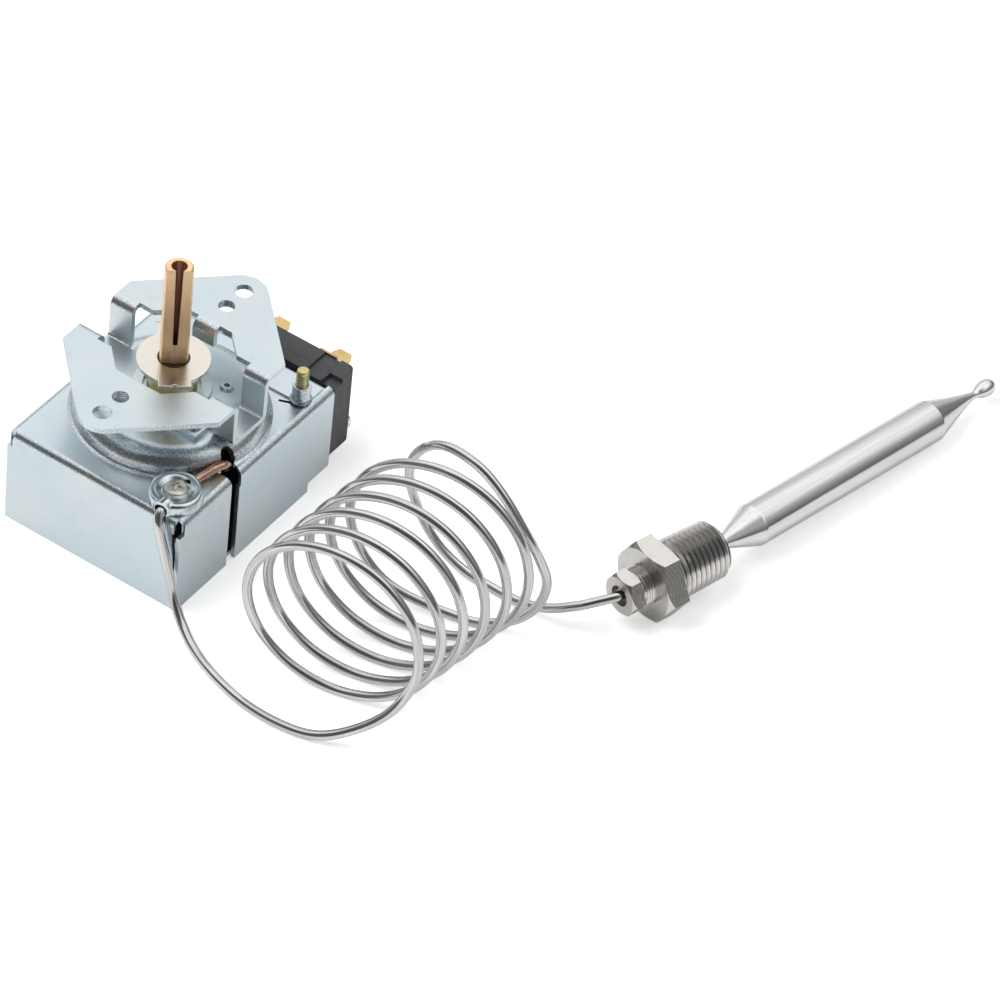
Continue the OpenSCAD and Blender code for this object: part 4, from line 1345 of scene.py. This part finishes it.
@dataclass
class Clamp:
    """The capillary's clamp, its screw, the copper lead and the stud."""

    shop: Shop
    centre: Point = (17.6, -21.6, PLATE_Z)
    tube_x: float = 18.3
    tube_up: float = 1.2
    hood_r: float = 1.9
    hood_clear: float = 0.3
    hood_start: Pair = (2.9, 4.1)
    hood_side: Pair = (2.1, 1.6)
    hood_bulge: float = 0.05
    rim_r: float = 5.8
    rim_h: float = 1.0
    cap_sides: int = 120
    cap_profile: Pairs = (
        (0.0, 1.7), (1.0, 1.7), (2.0, 1.7), (2.8, 1.7), (3.1, 1.72), (3.3, 1.82), (3.6, 2.05), (3.9, 2.28),
        (4.2, 2.46), (4.5, 2.6), (4.8, 2.68), (5.1, 2.7), (5.4, 2.64), (5.65, 2.5), (5.85, 2.24), (6.0, 1.85),
        (6.07, 1.3), (6.1, 0.7), (6.1, 0.04))
    bores: tuple[tuple[float, float, float, float], ...] = ((0.0, 1.55, -4.4, -7.5), (-0.1, 1.3, 3.4, 7.5))
    bore_drop: float = 0.05
    bore_sides: int = 40
    seat_up: float = 1.7
    head_r: float = 2.3
    head_up: float = 1.62
    head_crown: float = 0.30
    head_steps: int = 26
    head_sides: int = 96
    cross_turn_rad: float = 0.35
    cross_half: Pair = (0.34, 0.24)
    cross_arm: Pair = (1.35, 1.23)
    cross_pit: Pair = (0.62, 0.47)
    cross_deep: float = 0.95
    cross_slope: float = 0.35
    shank: Pairs = ((2.48, 1.18), (2.58, 1.0), (2.6, 0.75), (2.6, 0.12), (2.5, 0.0), (1.5, 0.0), (1.5, -2.5),
                    (0.2, -2.6))
    stud_at: Pair = (20.2, 20.6)
    stud_profile: Pairs = ((0.0, -19.5), (2.0, -19.5), (2.0, -18.05), (1.2, -18.0), (1.2, -8.75),
                           (1.38, -8.6), (1.38, -8.42), (1.15, -8.2), (0.0, -8.2))
    stud_thread: Thread = Thread("stud_ridge", 1.2, 1.2, pitch=0.7, turns=11.0, depth=0.25)
    stud_thread_z: float = -16.6
    stud_sides: int = 40
    collar_edge: float = 0.2
    capsule_z: float = -22.4
    lead_r: float = 1.0
    lead_steps: int = 8
    lead_sides: int = 16

    def cap_point(self, r: float, z: float, angle: float) -> Vector:
        """A point of the cap, lifted where a hood covers the capillary.

        Args:
            r: Radius of the cap's ring there.
            z: Height of the ring over the plate.
            angle: Where on the ring, in radians.

        Returns:
            The point in metres.
        """
        x, y = r * math.cos(angle), r * math.sin(angle)
        off = x + self.centre[0] - self.tube_x
        hood = self.tube_up + self.hood_clear + math.sqrt(max(0.0, self.hood_r ** 2 - off * off))
        near = share(-y, *self.hood_start) * share(abs(off), *self.hood_side)
        up = z if z < self.rim_h else z + max(0.0, hood - z) * near * near * (3 - 2 * near)
        out = 1.0 + (self.hood_bulge * near if r > self.rim_r else 0.0)
        return mm(self.centre[0] + x * out, self.centre[1] + y * out, self.centre[2] + up)

    def cap(self) -> None:
        """The pressed cap, with its hood and the two openings for the tubes."""
        bm = bmesh.new()
        rings = [[bm.verts.new(self.cap_point(r, z, a)) for a in angles(self.cap_sides)]
                 for r, z in self.cap_profile]
        whole = closed_skin(bm, rings, "cap_whole")
        x, y, z = self.tube_x, self.centre[1], self.centre[2] + self.tube_up - self.bore_drop
        bores = bmesh.new()
        for off, radius, near, far in self.bores:
            middle = Matrix.Translation(mm(x + off, y + (near + far) / 2, z))
            lay = middle @ Matrix.Rotation(math.pi / 2, 4, "X")
            bmesh.ops.create_cone(bores, cap_ends=True, segments=self.bore_sides, radius1=radius * MM,
                                  radius2=radius * MM, depth=abs(far - near) * MM, matrix=lay)
        mesh = cut_away(whole, finish_mesh(bores, "cap_bores"), "capillary_clamp_look")
        self.shop.place(mesh, "capillary_clamp_look", "capillary_clamp", finish=PRESSED_ZINC)

    def head_up_at(self, r: float, angle: float) -> float:
        """Height of the screw's head over its seat, with the cross recess sunk into it.

        Args:
            r: Distance from the screw's axis.
            angle: Where round the axis, in radians.

        Returns:
            The height.
        """
        way = angle - self.cross_turn_rad
        wing = min(abs(r * math.cos(way)), abs(r * math.sin(way)))
        sink = max(share(wing, *self.cross_half) * share(r, *self.cross_arm), share(r, *self.cross_pit))
        deep = sink * (self.cross_deep - self.cross_slope * r)
        return self.head_up - self.head_crown * (r / self.head_r) ** 2 - deep

    def pan_screw(self) -> None:
        """The pan head with its cross recess, and the shank under it."""
        bm = bmesh.new()
        seat = Matrix.Translation(mm(*self.centre[:2], self.centre[2] + self.seat_up))
        rings = []
        for r in (self.head_r * i / self.head_steps for i in range(self.head_steps + 1)):
            rings.append([bm.verts.new(seat @ mm(r * math.cos(a), r * math.sin(a), self.head_up_at(r, a)))
                          for a in angles(self.head_sides)])
        rings += [circle(bm, r, up, self.head_sides, seat) for r, up in self.shank]
        mesh = closed_skin(bm, rings, "clamp_screw_look", ROUND_SHARP)
        self.shop.place(mesh, "clamp_screw_look", "clamp_screw", finish=SCREW_CHROMATE)

    def stud(self) -> None:
        """The stud with its cut thread."""
        bm = bmesh.new()
        turned(bm, self.stud_profile, self.stud_sides, Matrix.Translation(mm(*self.stud_at, 0)))
        core = finish_mesh(bm, "stud_core")
        start = Matrix.Translation(mm(*self.stud_at, self.stud_thread_z))
        whole = joined([core, self.stud_thread.mesh(FINISHES[Slot.YELLOW], start)], "stud_screw_look")
        self.shop.place(whole, "stud_screw_look", "stud_screw")

    def lead(self) -> None:
        """The copper-coloured lead from the clamp down into the keyhole."""
        z, cap = PLATE_Z + self.tube_up, self.capsule_z
        route = [(18.2, -17.4, z), (18.9, -13.8, z + 0.2), (19.9, -10.6, z + 0.7), (20.7, -8.4, z + 0.5),
                 (20.5, -6.9, z - 0.7), (19.8, -6.2, z - 2.4), (18.2, -4.6, z - 4.6), (15.0, -1.4, cap + 0.2),
                 (12.6, 0, cap)]
        points = smooth_route(route, self.lead_steps)
        mesh = tube_mesh(points, self.lead_r * MM, self.lead_sides, "lead_look")
        self.shop.place(mesh, "lead_look", "lead_tube")

    def build(self) -> None:
        """Makes the clamp's pieces."""
        self.cap()
        self.pan_screw()
        self.shop.softened(self.collar_edge, "stud_collar")
        self.stud()
        self.lead()


@dataclass
class Gland:
    """Compression gland: nut, fitting with its pipe thread, and packing."""

    shop: Shop
    thread_at: float = 12.0
    thread_run: float = 14.0
    pitch: float = 1.41
    taper: float = 32.0
    crest: float = 7.2
    depth: float = 0.95
    bore_r: float = 6.0
    neck_from: float = 3.45
    neck_run: float = 2.9
    hex_at: float = 6.72
    neck_r: float = 4.75
    neck_depth: float = 0.28
    neck_pitch: float = 0.72
    thread_gap: float = 0.6
    neck_gap: float = 0.3
    near: float = 0.05
    nut_edge: float = 0.15
    share_normals: float = 30.0

    def build(self) -> None:
        """Makes the gland's pieces."""
        self.shop.softened(self.nut_edge, "gland_nut")
        self.shop.keep("packing_ring")
        self.fitting()

    def fitting(self) -> None:
        """The fitting with its two cut threads, each a ridge on a core that is turned down to its root."""
        bm = self.shop.merged("gland_fitting")
        place = GLAND.matrix()
        back = place.inverted()
        for v in bm.verts:
            x, y, z = back @ v.co / MM
            r = math.hypot(x, y)
            on_pipe = z > self.thread_at - 0.01 and self.bore_r < r < self.crest + 0.02
            on_neck = self.neck_from < z < self.hex_at and abs(r - self.neck_r) < self.near
            if on_pipe or on_neck:
                squeeze = (r - (self.depth if on_pipe else self.neck_depth)) / r
                v.co = place @ mm(x * squeeze, y * squeeze, z)
        core = finish_mesh(bm, "fitting_core")
        root, neck = self.crest - self.depth, self.neck_r - self.neck_depth
        pipe_thread = Thread("pipe_ridge", root, root - self.thread_run / self.taper, self.pitch,
                             self.thread_run / self.pitch, self.depth)
        neck_thread = Thread("neck_ridge", neck, neck, self.neck_pitch, self.neck_run / self.neck_pitch,
                             self.neck_depth)
        cuts = ((pipe_thread, self.thread_at + self.thread_gap),
                (neck_thread, self.neck_from + self.neck_gap))
        parts = [core]
        for thread, start in cuts:
            parts.append(thread.mesh(FINISHES[Slot.FITTING], place @ Matrix.Translation(mm(0, 0, start))))
        whole = weigh_normals(joined(parts, "gland_fitting_look"), self.share_normals)
        self.shop.place(whole, "gland_fitting_look", "gland_fitting")


@dataclass
class SensingBulb:
    """The bulb with its drawn ends and the sealed bead."""

    shop: Shop
    sides: int = 64
    sharp: float = 60.0
    share_normals: float = 30.0
    profile: Pairs = (
        (0.9, 0.0), (1.0, 0.6), (1.25, 1.5), (1.75, 3.0), (4.86, 11.5), (4.96, 11.75), (BULB_R, 12.0),
        (BULB_R, 25.0), (BULB_R, 40.0), (BULB_R, 55.0), (BULB_R, 70.4), (4.96, 70.65), (4.88, 70.9),
        (2.6, 78.5), (1.5, 82.6), (1.12, 84.4), (0.85, 85.6), (0.92, 86.4), (1.3, 87.2), (1.75, 88.2),
        (1.96, 89.2), (2.0, 90.2), (1.86, 91.2), (1.35, 92.0), (0.7, 92.3), (0.0, 92.4))

    def build(self) -> None:
        """Makes the bulb in one turned piece."""
        bm = bmesh.new()
        rings = [circle(bm, r, z, self.sides, BULB.matrix()) for r, z in self.profile]
        skin(bm, rings)
        bm.faces.new(list(reversed(rings[0])))
        bmesh.ops.recalc_face_normals(bm, faces=bm.faces)
        mesh = weigh_normals(finish_mesh(bm, "bulb_look", self.sharp), self.share_normals)
        self.shop.place(mesh, "bulb_look", "sensing_bulb", "bulb_tip")


def main() -> None:
    """Builds the whole scene and writes the sizes of the frame and of the looks."""
    logging.basicConfig(level=logging.INFO, format="%(message)s")
    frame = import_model()
    Studio().build()
    shop = Shop(frame)
    for maker in (Capillary, Casing, Spindle, Works, SwitchBlock, Clamp, Gland, SensingBulb):
        maker(shop).build()
    LOG.info("%d pieces made", len(shop.pieces))


if __name__ == "__main__":
    main()
